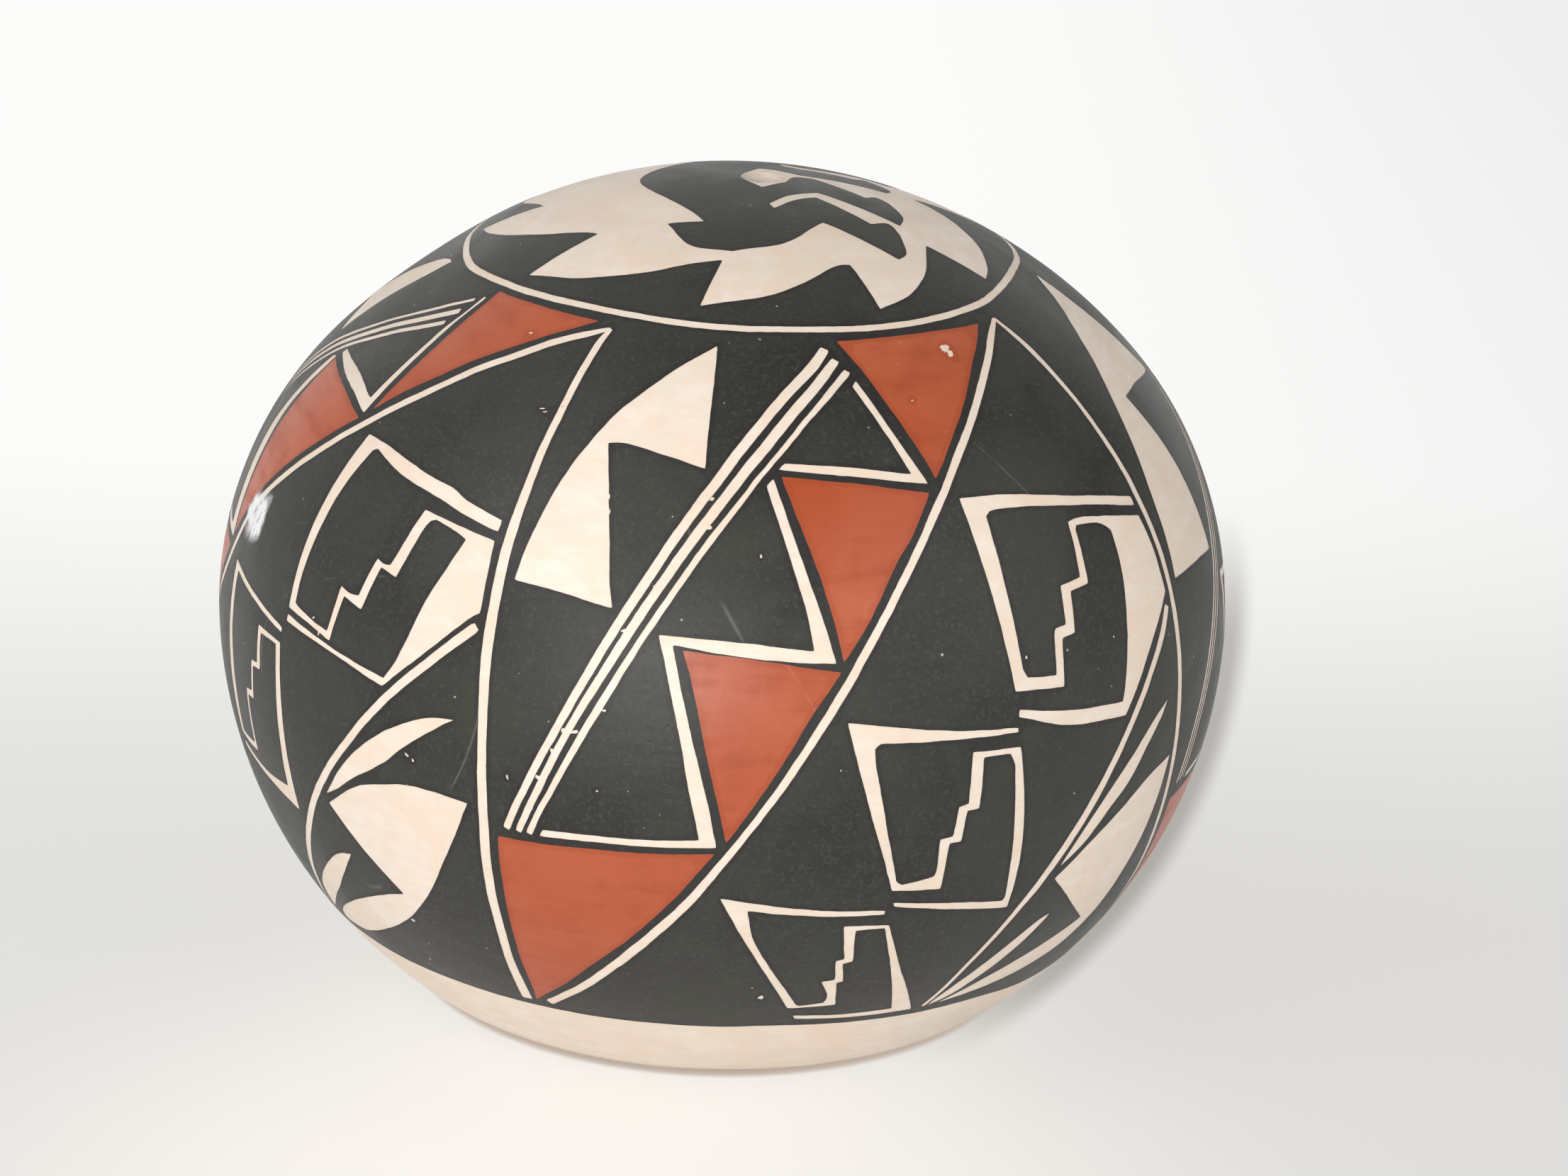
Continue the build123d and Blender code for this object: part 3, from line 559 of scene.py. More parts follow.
def strokeOutline(line):
    # one brush stroke: the width at each place is given in degrees of the belly
    centre = smoothRun([place for place, width in line]) + [line[-1][0]]
    marks = [0]
    for (first, _), (last, _) in zip(line, line[1:]):
        marks.append(marks[-1] + max(1, round(spanOf(first, last) / brush["step"])))
    left, right = [], []
    for index, place in enumerate(centre):
        ahead, behind = centre[min(index + 1, len(centre) - 1)], centre[max(index - 1, 0)]
        reach = reachAt(place[1])
        wide = cosOf(place[1]) * reach
        way = Vector((math.radians(ahead[0] - behind[0]) * wide,
                      math.radians(ahead[1] - behind[1]) * reach)).normalized()
        part = min(max(at for at, mark in enumerate(marks) if mark <= index), len(marks) - 2)
        share = (index - marks[part]) / (marks[part + 1] - marks[part])
        half = (line[part][1] * (1 - share) + line[part + 1][1] * share) * metresPerDegree / 2
        across, up = math.degrees(-way.y * half / wide), math.degrees(way.x * half / reach)
        left.append((place[0] + across, place[1] + up))
        right.append((place[0] - across, place[1] - up))
    return left + right[::-1]


def opened(outline):
    return [toPlan(*place) for place in outline]


def handDrawn(spots):
    # rounds the corners to the brush and lets the edge wander
    drawn = []
    for index, spot in enumerate(spots):
        beside = Vector(spots[index - 1]) + Vector(spots[(index + 1) % len(spots)])
        spot = (1 - 2 * brush["rounding"]) * Vector(spot) + brush["rounding"] * beside
        turn, rise = fromPlan(spot)
        aim = direction(turn, rise)
        shift = noise.noise_vector(aim * brush["wanderScale"]) * brush["wander"]
        shift += (noise.noise_vector(aim * brush["trembleScale"])
                  + brush["bristle"] * noise.noise_vector(aim * brush["bristleScale"])) * brush["tremble"]
        wide = max(cosOf(rise) * pot["bodyRadius"], brush["narrowest"])
        turn += math.degrees(shift.x / wide)
        rise += math.degrees(shift.y / pot["bodyRadius"])
        drawn.append(toPlan(turn, rise))
    return drawn


def ringOutline(line, raised=0.0):
    # closed line round the pot through (turn, rise) marks
    marks = sorted(line)
    marks = ([(turn - 360, rise) for turn, rise in marks[-2:]] + marks
             + [(turn + 360, rise) for turn, rise in marks[:3]])
    outline = []
    for step in range(brush["ringSteps"]):
        turn = marks[2][0] + 360 * step / brush["ringSteps"]
        index = max(at for at, mark in enumerate(marks) if mark[0] <= turn)
        a, b = marks[index], marks[index + 1]
        before, after = marks[index - 1], marks[min(index + 2, len(marks) - 1)]
        rise = curveAt(before[1], a[1], b[1], after[1], (turn - a[0]) / (b[0] - a[0]))
        outline.append((turn, rise + raised))
    return outline


def shifted(shape, start, scale, origin):
    # the shape moved round the pot, and made wider or narrower
    def move(place):
        return start + (place[0] - origin) * scale, place[1]
    return [move(shape[0])] + [[move(place) for place in run] for run in shape[1:]]


def shiftedLine(line, start, scale, origin):
    return [((start + (place[0] - origin) * scale, place[1]), width) for place, width in line]


# Painter's order: what is laid later covers what is below it.
layers = []


def lay(field, outline):
    layers.append((field, handDrawn(opened(outline))))


# a move is the new turn of a shape, how much wider it gets, and its old turn
inPlace = (0, 1, 0)


def layPanel(panel, move=inPlace):
    for line in [panel[key] for key in ("side", "sweep") if key in panel] + panel["stripes"]:
        lay("bare", strokeOutline(shiftedLine(line, *move)))
    for field in ("bare", "red"):
        for shape in panel[field].values():
            lay(field, outlineOf(shifted(shape, *move)))


def layFeather(move=inPlace):
    for shape in feather.values():
        lay("bare", outlineOf(shifted(shape, *move)))
    lay("bare", strokeOutline(shiftedLine(featherLine, *move)))


def layKeys(*moves):
    for shape, move in zip((keyTop, keyMiddle, keyBottom), moves):
        if move:
            lay("bare", outlineOf(shifted(shape, *move)))


lay("blackBand", ringOutline(crownPaint["bandLow"]))
layPanel(frontPanel)
layKeys(inPlace, inPlace, inPlace)
layFeather()
layPanel(leftPanel)
lay("bare", strokeOutline(leftPanel["featherLine"]))
lay("bare", strokeOutline(shiftedLine(frontPanel["side"], -110, 1, -24)))
layKeys(None, None, (-86.5, 0.843, 1.5))
layPanel(rightPanel)
layKeys((123.8, 1.02, 30.4), (110.6, 0.78, 14.2), (91.4, 1.03, 1.5))

# the back repeats the feather and the front panel, a little wider
backScale = 94 / 86
toBack = (156, backScale, -24)
layFeather((62, backScale, -24))
layPanel(frontPanel, toBack)
layKeys(toBack, toBack, toBack)
layFeather(toBack)

# small chips where the slip shows again: turn, rise, half width and half height in degrees, tilt
chips = [(39.8, 48.3, 0.62, 0.5, 20), (40.2, 47.6, 0.4, 0.5, -30), (39.2, 48.5, 0.35, 0.2, 60),
         (7.0, -27.8, 0.32, 0.34, 0), (-39.2, 48.6, 0.22, 0.16, 0), (-37.2, -23.7, 0.3, 0.22, 30),
         (-15.2, 5.2, 0.42, 0.36, 60), (-14.1, 5.3, 0.4, 0.16, 20), (-16.4, 2.8, 0.2, 0.42, 20),
         (-17.9, -0.2, 0.22, 0.3, 40), (-18.6, -3.8, 0.16, 0.24, 0), (-1.6, 30.9, 0.26, 0.2, 40),
         (-1.6, 27.7, 0.3, 0.2, 30), (-10.0, 16.3, 0.34, 0.15, 20), (-7.2, 21.1, 0.16, 0.12, 0),
         (-11.2, 7.9, 0.22, 0.13, 0), (-33.6, -1.1, 0.3, 0.16, -30), (-32.8, -1.5, 0.14, 0.2, 0),
         (-21.3, -0.8, 0.1, 0.3, 20), (-11.5, -0.8, 0.14, 0.1, 0), (-28.4, 39.2, 0.35, 0.1, 10),
         (-27.6, 38.9, 0.3, 0.09, 20), (23.5, 54.7, 0.2, 0.12, 0), (35.3, 11.7, 0.16, 0.2, 0),
         (-49.6, 9.6, 0.22, 0.12, 40), (4.6, 24.8, 0.14, 0.2, 0), (28.6, 42.1, 0.16, 0.1, 0),
         (-24.4, -4.5, 0.16, 0.2, 0), (45.0, 69.3, 0.5, 0.14, -25), (58.3, 67.0, 0.6, 0.12, -30),
         (-50.6, 76.2, 0.5, 0.13, 40), (-3.7, 67.7, 0.45, 0.09, 5), (-14.5, 30.2, 0.1, 0.3, 15),
         (-14.0, 28.6, 0.08, 0.3, 10), (-48.2, 8.3, 0.16, 0.26, 0), (-33.8, -19.1, 0.14, 0.24, 0)]


chipEdge = {"steps": 18, "ragged": 0.6, "scale": 2.2}


def chipOutline(turn, rise, wide, tall, tilt):
    outline = []
    for step in range(chipEdge["steps"]):
        spin = math.radians(360 / chipEdge["steps"] * step)
        grow = 1 + chipEdge["ragged"] * noise.noise(Vector((math.cos(spin) * chipEdge["scale"] + turn,
                                                            math.sin(spin) * chipEdge["scale"], rise)))
        x, y = wide * grow * math.cos(spin), tall * grow * math.sin(spin)
        outline.append((turn + (x * cosOf(tilt) - y * sinOf(tilt)) / cosOf(rise),
                        rise + x * sinOf(tilt) + y * cosOf(tilt)))
    return opened(outline)


for chip in chips:
    layers.append(("bare", chipOutline(*chip)))
half = crownPaint["ringWidth"] / 2
lay("bare", ringOutline(crownPaint["ring"], -half))
lay("crownRing", ringOutline(crownPaint["ring"], half))
layers.append(("bare", handDrawn(outlineOf(crownPaint["star"], planSpan))))
layers.append(("crownFigure", handDrawn(outlineOf(crownPaint["figure"], planSpan))))


def holeOutline():
    # the hole is upright, so its outline is found on the wall by its place
    outline, radius = [], seedHole["radius"]
    for step in range(seedHole["steps"]):
        spin = 2 * math.pi * step / seedHole["steps"]
        grain = noise.noise(Vector((math.cos(spin), math.sin(spin), 3)) * seedHole["wornScale"])
        grow = radius + seedHole["worn"] * grain
        x, y = seedHole["right"] + grow * math.cos(spin), seedHole["back"] + grow * math.sin(spin)
        far = math.hypot(x, y)
        rise = math.degrees(math.atan2(crownCentre + math.sqrt(crownArc ** 2 - far ** 2), far))
        outline.append(toPlan(math.degrees(math.atan2(x, -y)), rise))
    return outline


layers.append(("hole", holeOutline()))
print("painted shapes laid out:", len(layers))


def counterClockwise(outline):
    area = sum(a.x * b.y - b.x * a.y for a, b in zip(outline, outline[1:] + outline[:1]))
    return outline if area > 0 else outline[::-1]


def openPlan(shapes, reach, grid):
    # one triangulation of the opened wall that keeps every outline as an edge: its points and triangles
    spots, outlines = [], []
    for shape in shapes:
        outlines.append(list(range(len(spots), len(spots) + len(shape))))
        spots += counterClockwise(shape)
    tree = KDTree(len(spots))
    for index, spot in enumerate(spots):
        tree.insert((spot.x, spot.y, 0), index)
    tree.balance()
    rowHeight = 0.866  # of a grid of even triangles
    count = int(reach / (rowHeight * grid)) + 1
    inner = []
    for row in range(-count, count + 1):
        for column in range(-count, count + 1):
            spot = Vector((grid * (column + 0.5 * (row % 2)), grid * rowHeight * row))
            if spot.length < reach and tree.find((spot.x, spot.y, 0))[2] > brush["clear"] * grid:
                inner.append(spot)
    found = delaunay_2d_cdt(spots + inner, [], outlines, 0, 1e-7)
    return found[0], found[2]


def shapeCells(shapes):
    # for each cell of the plan, the shapes that reach it, last painted first, with their sides in its row
    cells, cell = {}, brush["cell"]
    for index, shape in enumerate(shapes):
        rows = {}
        for first, last in zip(shape, shape[1:] + shape[:1]):
            low, high = sorted((first.y, last.y))
            for row in range(math.floor(low / cell), math.floor(high / cell) + 1):
                rows.setdefault(row, []).append((first, last))
        left = math.floor(min(spot.x for spot in shape) / cell)
        right = math.floor(max(spot.x for spot in shape) / cell)
        for row, sides in rows.items():
            for column in range(left, right + 1):
                cells.setdefault((column, row), []).insert(0, (index, sides))
    return cells


def isInside(spot, sides):
    # counts how often the outline winds round the place
    winding = 0
    for first, last in sides:
        if (first.y > spot.y) != (last.y > spot.y):
            if spot.x < first.x + (spot.y - first.y) * (last.x - first.x) / (last.y - first.y):
                winding += 1 if last.y > first.y else -1
    return winding != 0


def topShapes(plan, triangles, shapes):
    # the number of the shape painted last over the middle of each triangle, or None
    cells, cell = shapeCells(shapes), brush["cell"]
    tops = []
    for triangle in triangles:
        middle = sum((plan[index] for index in triangle), Vector((0, 0))) / len(triangle)
        near = cells.get((math.floor(middle.x / cell), math.floor(middle.y / cell)), [])
        tops.append(next((index for index, sides in near if isInside(middle, sides)), None))
    return tops


def coatMesh(name, plan, triangles, low, high):
    # a closed coat: the triangles at its underside, lifted to its face by an extrude
    work = bmesh.new()
    spots, places = {}, {}
    for triangle in triangles:
        for index in triangle:
            if index not in spots:
                turn, rise = fromPlan(plan[index])
                spots[index] = work.verts.new(onWall(turn, rise, low))
                places[spots[index]] = (turn, rise)
    work.verts.index_update()
    for triangle in triangles:
        work.faces.new([spots[index] for index in triangle])
    under = work.faces[:]
    placeList = [places[spot] for spot in work.verts]
    lifted = bmesh.ops.extrude_face_region(work, geom=under, use_keep_orig=True)
    bmesh.ops.reverse_faces(work, faces=under)
    tops = [item for item in lifted["geom"] if isinstance(item, bmesh.types.BMVert)]
    byPlace = KDTree(len(placeList))
    for index, spot in enumerate(list(work.verts)[:len(placeList)]):
        byPlace.insert(spot.co, index)
    byPlace.balance()
    for spot in tops:
        turn, rise = placeList[byPlace.find(spot.co)[1]]
        spot.co = onWall(turn, rise, high)
    bmesh.ops.recalc_face_normals(work, faces=work.faces)
    return finishMesh(work, name)


def edgeDistance(piece):
    # how far each point lies from the rim of its painted field, in millimetres
    mesh = piece.data
    rims = set()
    for edge in mesh.edges:
        if edge.use_edge_sharp:
            rims.update(edge.vertices)
    tree = KDTree(max(len(rims), 1))
    for index in rims:
        tree.insert(mesh.vertices[index].co, index)
    tree.balance()
    field = mesh.attributes.new("edge", "FLOAT", "POINT")
    field.data.foreach_set("value", [tree.find(spot.co)[2] * 1000 for spot in mesh.vertices])


outlines = [outline for _, outline in layers]
plan, triangles = openPlan(outlines, brush["paintReach"], brush["grid"])
fields = {}
for triangle, top in zip(triangles, topShapes(plan, triangles, outlines)):
    if top is not None:
        fields.setdefault(layers[top][0], []).append(triangle)
print("painted fields:", {name: len(found) for name, found in fields.items()})

paints = {"blackBand": ("black_band", "black_paint"), "red": ("red_triangles", "red_paint"),
          "crownRing": ("black_crown_ring", "black_paint"), "crownFigure": ("crown_figure", "black_paint")}
pieces = {}
for name, (node, slotName) in paints.items():
    mesh = coatMesh(name, plan, fields[name], -brush["paintSink"], brush["paintLift"])
    pieces[name] = addPiece(name, mesh, node)
    edgeDistance(pieces[name])
print("paint laid")

# slip: one closed coat from just above the foot to the rim of the seed hole
slipRim = {"height": 0.002, "wander": 0.25, "wanderTurn": 30, "everyTurn": 20}
slipLow = riseAtHeight(slipRim["height"])
slipEdge = []
for turn in range(0, 360, slipRim["everyTurn"]):
    sway = slipRim["wander"] * noise.noise(Vector((turn / slipRim["wanderTurn"], 0, 7)))
    slipEdge.append((turn, max(slipLow + sway, slipLow)))
slipShapes = [handDrawn(opened(ringOutline(slipEdge))), holeOutline()]
slipPlan, slipFound = openPlan(slipShapes, brush["slipReach"], brush["slipGrid"])
slipTops = topShapes(slipPlan, slipFound, slipShapes)
slipTriangles = [triangle for triangle, top in zip(slipFound, slipTops) if top == 0]
slipMesh = coatMesh("creamSlip", slipPlan, slipTriangles, -courses["slip"], 0.0)
pieces["slip"] = addPiece("creamSlip", slipMesh, "cream_slip")
print("slip laid:", len(slipTriangles))


# materials

def feed(tree, socket, value):
    # an output is linked to the socket, any other value is set in it
    if isinstance(value, bpy.types.NodeSocket):
        tree.links.new(value, socket)
    else:
        socket.default_value = value


def put(tree, kind, **values):
    # a node with its settings and its input values
    node = tree.nodes.new(kind)
    for name, value in values.items():
        if name in node.inputs:
            feed(tree, node.inputs[name], value)
        else:
            setattr(node, name, value)
    return node


def sums(tree, operation, first, second):
    node = put(tree, "ShaderNodeMath", operation=operation)
    feed(tree, node.inputs[0], first)
    feed(tree, node.inputs[1], second)
    return node.outputs[0]


def vectorSums(tree, operation, *values):
    node = put(tree, "ShaderNodeVectorMath", operation=operation)
    for socket, value in zip(node.inputs, values):
        feed(tree, socket, value)
    return node.outputs["Value" if operation in ("DISTANCE", "LENGTH") else "Vector"]


def span(tree, value, low, high, newLow=0.0, newHigh=1.0):
    # spreads a value smoothly from low..high to newLow..newHigh
    node = put(tree, "ShaderNodeMapRange", interpolation_type="SMOOTHSTEP")
    for socket, amount in zip(node.inputs, (value, low, high, newLow, newHigh)):
        feed(tree, socket, amount)
    return node.outputs[0]


def blendColour(tree, mask, first, second, mode="MIX"):
    node = put(tree, "ShaderNodeMix", data_type="RGBA", blend_type=mode)
    feed(tree, node.inputs[0], mask)
    for socket, colour in ((node.inputs[6], first), (node.inputs[7], second)):
        feed(tree, socket, (*colour, 1) if isinstance(colour, tuple) else colour)
    return node.outputs[2]


def newGroup(name, inputs, outputs):
    group = bpy.data.node_groups.new(name, "ShaderNodeTree")
    for label, value in inputs.items():
        kind = "NodeSocketFloat" if isinstance(value, float) else "NodeSocketVector"
        group.interface.new_socket(label, in_out="INPUT", socket_type=kind).default_value = value
    for label in outputs:
        group.interface.new_socket(label, in_out="OUTPUT", socket_type="NodeSocketFloat")
    return group, group.nodes.new("NodeGroupInput").outputs, group.nodes.new("NodeGroupOutput").inputs


def placeOf(tree):
    return put(tree, "ShaderNodeTexCoord").outputs["Object"]


def noiseAt(tree, stretch, scale, detail=3.0, roughness=0.5, distortion=0.0):
    return put(tree, "ShaderNodeTexNoise", Vector=vectorSums(tree, "MULTIPLY", placeOf(tree), stretch),
               Scale=scale, Detail=detail, Roughness=roughness, Distortion=distortion).outputs[0]


even = (1, 1, 1)  # no stretch


def brushMarks():
    # strokes of the brush and polishing stone round the pot, and the cloudy depth of the colour
    tree, given, result = newGroup("brushMarks", {"Stroke Scale": 60.0, "Cloud Scale": 28.0},
                                   ["Stroke", "Cloud"])
    level = noiseAt(tree, (1, 1, 7), given["Stroke Scale"], 4, 0.6, 0.3)
    slanted = noiseAt(tree, (4.5, 1.6, 1), given["Stroke Scale"], 3, 0.5, 0.2)
    strokes = sums(tree, "ADD", sums(tree, "MULTIPLY", level, 0.65), sums(tree, "MULTIPLY", slanted, 0.35))
    feed(tree, result["Stroke"], strokes)
    clouds = noiseAt(tree, even, given["Cloud Scale"], 5, 0.62, 0.6)
    feed(tree, result["Cloud"], span(tree, clouds, 0.3, 0.7))
    return tree


def dustMarks():
    # fine specks, and thin scratches from years of handling
    usual = {"Speck Scale": 300.0, "Speck Share": 0.05, "Scratch Scale": 24.0, "Scratch Width": 0.004}
    tree, given, result = newGroup("dustMarks", usual, ["Specks", "Scratches"])
    cells = put(tree, "ShaderNodeTexVoronoi", feature="F1", Vector=placeOf(tree),
                Scale=given["Speck Scale"])
    chance = put(tree, "ShaderNodeSeparateColor", Color=cells.outputs["Color"]).outputs
    reach = sums(tree, "ADD", sums(tree, "MULTIPLY", chance[1], 0.09), 0.035)
    dots = span(tree, cells.outputs["Distance"], reach, 0.03)
    gathered = span(tree, noiseAt(tree, even, 42, 3, 0.6), 0.42, 0.68, 0.2, 2.4)
    chosen = sums(tree, "LESS_THAN", chance[0], sums(tree, "MULTIPLY", given["Speck Share"], gathered))
    feed(tree, result["Specks"], sums(tree, "MULTIPLY", dots, chosen))
    contour = noiseAt(tree, (1.0, 1.3, 0.8), given["Scratch Scale"], 0.4)
    off = sums(tree, "ABSOLUTE", sums(tree, "SUBTRACT", contour, 0.52), 0.0)
    thin = span(tree, off, given["Scratch Width"], 0.0)
    patchy = span(tree, noiseAt(tree, even, 70, 4, 0.6), 0.5, 0.62)
    feed(tree, result["Scratches"], sums(tree, "MULTIPLY", thin, patchy))
    return tree


def rimStroke():
    # each field was outlined first: 1 at its rim, 0 inside; reads the distance kept on the mesh
    tree, given, result = newGroup("rimStroke", {"Width": 1.0, "Wander": 0.5}, ["Rim"])
    away = put(tree, "ShaderNodeAttribute", attribute_name="edge").outputs["Fac"]
    shake = sums(tree, "SUBTRACT", noiseAt(tree, even, 420, 2), 0.5)
    shake = sums(tree, "MULTIPLY", shake, given["Wander"])
    inner = sums(tree, "MULTIPLY", given["Width"], 0.35)
    feed(tree, result["Rim"], span(tree, sums(tree, "ADD", away, shake), given["Width"], inner))
    return tree


def burnish():
    # relief of the stone-polished skin: long flats, fine grit and small pits
    tree, given, result = newGroup("burnish", {"Grit": 0.25, "Flats": 1.0, "Pits": 0.4}, ["Height"])
    flats = sums(tree, "MULTIPLY", noiseAt(tree, (1, 1, 3.2), 95, 2, 0.45), given["Flats"])
    grit = sums(tree, "MULTIPLY", noiseAt(tree, even, 1900, 3, 0.6), given["Grit"])
    pits = put(tree, "ShaderNodeTexVoronoi", feature="F1", Vector=placeOf(tree), Scale=420.0)
    hollow = sums(tree, "MULTIPLY", span(tree, pits.outputs["Distance"], 0.12, 0.03), given["Pits"])
    feed(tree, result["Height"], sums(tree, "SUBTRACT", sums(tree, "ADD", flats, grit), hollow))
    return tree


def chalkSmear():
    # a dry pale smear across a small place, broken up by the grain of the surface
    tree, given, result = newGroup("chalkSmear", {"Centre": onWall(-69.0, 15.3), "Reach": 0.0052},
                                   ["Smear"])
    place = placeOf(tree)
    cloud = put(tree, "ShaderNodeTexNoise", Vector=place, Scale=190.0, Detail=5.0).outputs["Color"]
    level = vectorSums(tree, "SUBTRACT", cloud, (0.5, 0.5, 0.5))
    ruffled = vectorSums(tree, "MULTIPLY_ADD", level, (0.009, 0.009, 0.006), place)
    away = vectorSums(tree, "DISTANCE", ruffled, given["Centre"])
    core = span(tree, away, given["Reach"], sums(tree, "MULTIPLY", given["Reach"], 0.55))
    bristle = span(tree, noiseAt(tree, (1, 1, 0.45), 850, 3, 0.7), 0.3, 0.52, 0.3, 1.0)
    feed(tree, result["Smear"], sums(tree, "MULTIPLY", core, bristle))
    return tree


groups = {"marks": brushMarks(), "dust": dustMarks(), "rim": rimStroke(), "burnish": burnish(),
          "smear": chalkSmear()}

# In each look, tones are laid over the base in turn: the mask, its amount and the colour.
# An amount is a share of the mask, or the ends that it is spread between.
slipLook = {
    "colours": {"cream": (0.782, 0.686, 0.60), "blush": (0.755, 0.60, 0.475), "wash": (0.725, 0.64, 0.54),
                "sand": (0.42, 0.27, 0.17), "smudge": (0.52, 0.46, 0.39), "chalk": (0.80, 0.82, 0.83)},
    "groups": {
        "marks": {"Stroke Scale": 58.0, "Cloud Scale": 95.0},
        "dust": {"Speck Scale": 470.0, "Speck Share": 0.035, "Scratch Scale": 18.0, "Scratch Width": 0.002},
        "burnish": {"Grit": 0.2, "Flats": 1.0, "Pits": 0.25},
        "smear": {}},
    "noises": {"fine": ((1, 1, 3), 260, 4, 0.6), "dirt": (even, 17, 6, 0.7, 0.8)},
    "base": "cream",
    "tones": [("Cloud", (0.35, 0.9, 0.0, 0.75), "blush"), ("Stroke", (0.42, 0.62, 0.0, 0.8), "wash"),
              ("fine", (0.4, 0.64, 0.0, 0.5), "blush"), ("dirt", (0.6, 0.8, 0.0, 0.35), "smudge"),
              ("Specks", 0.75, "sand"), ("Scratches", 0.25, "smudge"), ("Smear", 1.0, "chalk")],
    "rough": [("Stroke", (0.35, 0.65, 0.37, 0.52))],
    "height": [("Height", 1.0)], "relief": 0.00009, "shine": 0.5,
}
blackLook = {
    "colours": {"charcoal": (0.0185, 0.018, 0.016), "worn": (0.032, 0.033, 0.026),
                "grain": (0.041, 0.041, 0.034), "stroke": (0.012, 0.0105, 0.012),
                "speck": (0.50, 0.46, 0.40), "scratch": (0.16, 0.16, 0.145), "chalk": (0.78, 0.80, 0.81)},
    "groups": {
        "marks": {"Stroke Scale": 75.0, "Cloud Scale": 46.0},
        "dust": {"Speck Scale": 430.0, "Speck Share": 0.10, "Scratch Scale": 15.0, "Scratch Width": 0.0022},
        "rim": {"Width": 0.9, "Wander": 0.5},
        "burnish": {"Grit": 0.28, "Flats": 1.0, "Pits": 0.35},
        "smear": {}},
    "noises": {"grain": (even, 1500, 2, 0.7)},
    "base": "charcoal",
    "tones": [("Cloud", 1.0, "worn"), ("Stroke", (0.5, 0.72, 0.0, 0.6), "worn"),
              ("grain", (0.5, 0.7), "grain"), ("Rim", 0.5, "stroke"), ("Scratches", 0.5, "scratch"),
              ("Specks", 1.0, "speck"), ("Smear", 1.0, "chalk")],
    "rough": [("Cloud", (0.0, 1.0, 0.40, 0.52)), ("Smear", 0.3)],
    "height": [("Height", 1.0), ("Stroke", 0.35)], "relief": 0.0001, "shine": 0.4,
}
redLook = {
    "colours": {"ochre": (0.375, 0.064, 0.016), "pale": (0.445, 0.10, 0.04), "deep": (0.31, 0.046, 0.011),
                "speck": (0.62, 0.36, 0.25), "scratch": (0.58, 0.30, 0.2), "chalk": (0.80, 0.79, 0.79)},
    "groups": {
        "marks": {"Stroke Scale": 52.0, "Cloud Scale": 30.0},
        "dust": {"Speck Scale": 560.0, "Speck Share": 0.09, "Scratch Scale": 16.0, "Scratch Width": 0.002},
        "rim": {"Width": 1.1, "Wander": 0.7},
        "burnish": {"Grit": 0.16, "Flats": 1.1, "Pits": 0.2},
        "smear": {}},
    "base": "ochre",
    "tones": [("Cloud", 1.0, "pale"), ("Stroke", (0.48, 0.7, 0.0, 0.7), "deep"), ("Rim", 0.45, "deep"),
              ("Specks", 0.5, "speck"), ("Scratches", 0.3, "scratch"), ("Smear", 1.0, "chalk")],
    "rough": [("Stroke", (0.35, 0.7, 0.32, 0.46))],
    "height": [("Height", 1.0)], "relief": 0.00008, "shine": 0.5,
}
clayLook = {
    "colours": {"pale": (0.84, 0.76, 0.69), "warm": (0.78, 0.67, 0.58), "worn": (0.66, 0.56, 0.47),
                "speck": (0.35, 0.25, 0.19)},
    "groups": {
        "marks": {"Stroke Scale": 38.0, "Cloud Scale": 40.0},
        "dust": {"Speck Scale": 260.0, "Speck Share": 0.22, "Scratch Scale": 20.0, "Scratch Width": 0.003},
        "burnish": {"Grit": 0.5, "Flats": 1.0, "Pits": 0.9}},
    "base": "pale",
    "tones": [("Cloud", 1.0, "warm"), ("Stroke", (0.45, 0.7, 0.0, 0.6), "worn"), ("Specks", 0.8, "speck")],
    "rough": [("Cloud", (0.0, 1.0, 0.68, 0.82))],
    "height": [("Height", 1.0)], "relief": 0.00025, "shine": 0.3,
}


def newMaterial(name):
    material = bpy.data.materials.new(name)
    material.use_nodes = True
    return material, material.node_tree, material.node_tree.nodes["Principled BSDF"]


def ranged(tree, mask, amount):
    return span(tree, mask, *amount) if isinstance(amount, tuple) else sums(tree, "MULTIPLY", mask, amount)


def addedUp(tree, masks, parts):
    total = 0.0
    for label, amount in parts:
        total = sums(tree, "ADD", ranged(tree, masks[label], amount), total)
    return total


def claySurface(name, look):
    material, tree, shader = newMaterial(name)
    masks = {}
    for group, values in look["groups"].items():
        node = put(tree, "ShaderNodeGroup", node_tree=groups[group])
        for label, value in values.items():
            node.inputs[label].default_value = value
        masks.update({output.name: output for output in node.outputs})
    for label, settings in look.get("noises", {}).items():
        masks[label] = noiseAt(tree, *settings)
    colour = look["colours"][look["base"]]
    for label, amount, tint in look["tones"]:
        colour = blendColour(tree, ranged(tree, masks[label], amount), colour, look["colours"][tint])
    bump = put(tree, "ShaderNodeBump", Strength=1.0, Distance=look["relief"],
               Height=addedUp(tree, masks, look["height"]))
    feed(tree, shader.inputs["Base Color"], colour)
    feed(tree, shader.inputs["Roughness"], addedUp(tree, masks, look["rough"]))
    feed(tree, shader.inputs["Normal"], bump.outputs[0])
    shader.inputs["Specular IOR Level"].default_value = look["shine"]
    return material


surfaces = {"slip": claySurface("polishedSlip", slipLook), "black": claySurface("mineralBlack", blackLook),
            "red": claySurface("ochreRed", redLook), "clay": claySurface("firedClay", clayLook)}
surfaceOf = {"blackBand": "black", "crownRing": "black", "crownFigure": "black", "red": "red",
             "slip": "slip"}
for name, surface in surfaceOf.items():
    pieces[name].data.materials.append(surfaces[surface])
for piece in (basePad, lowerWall, shoulderWall, crownCap):
    piece.data.materials.clear()
    piece.data.materials.append(surfaces["clay"])
print("materials made")


# floor, light and camera

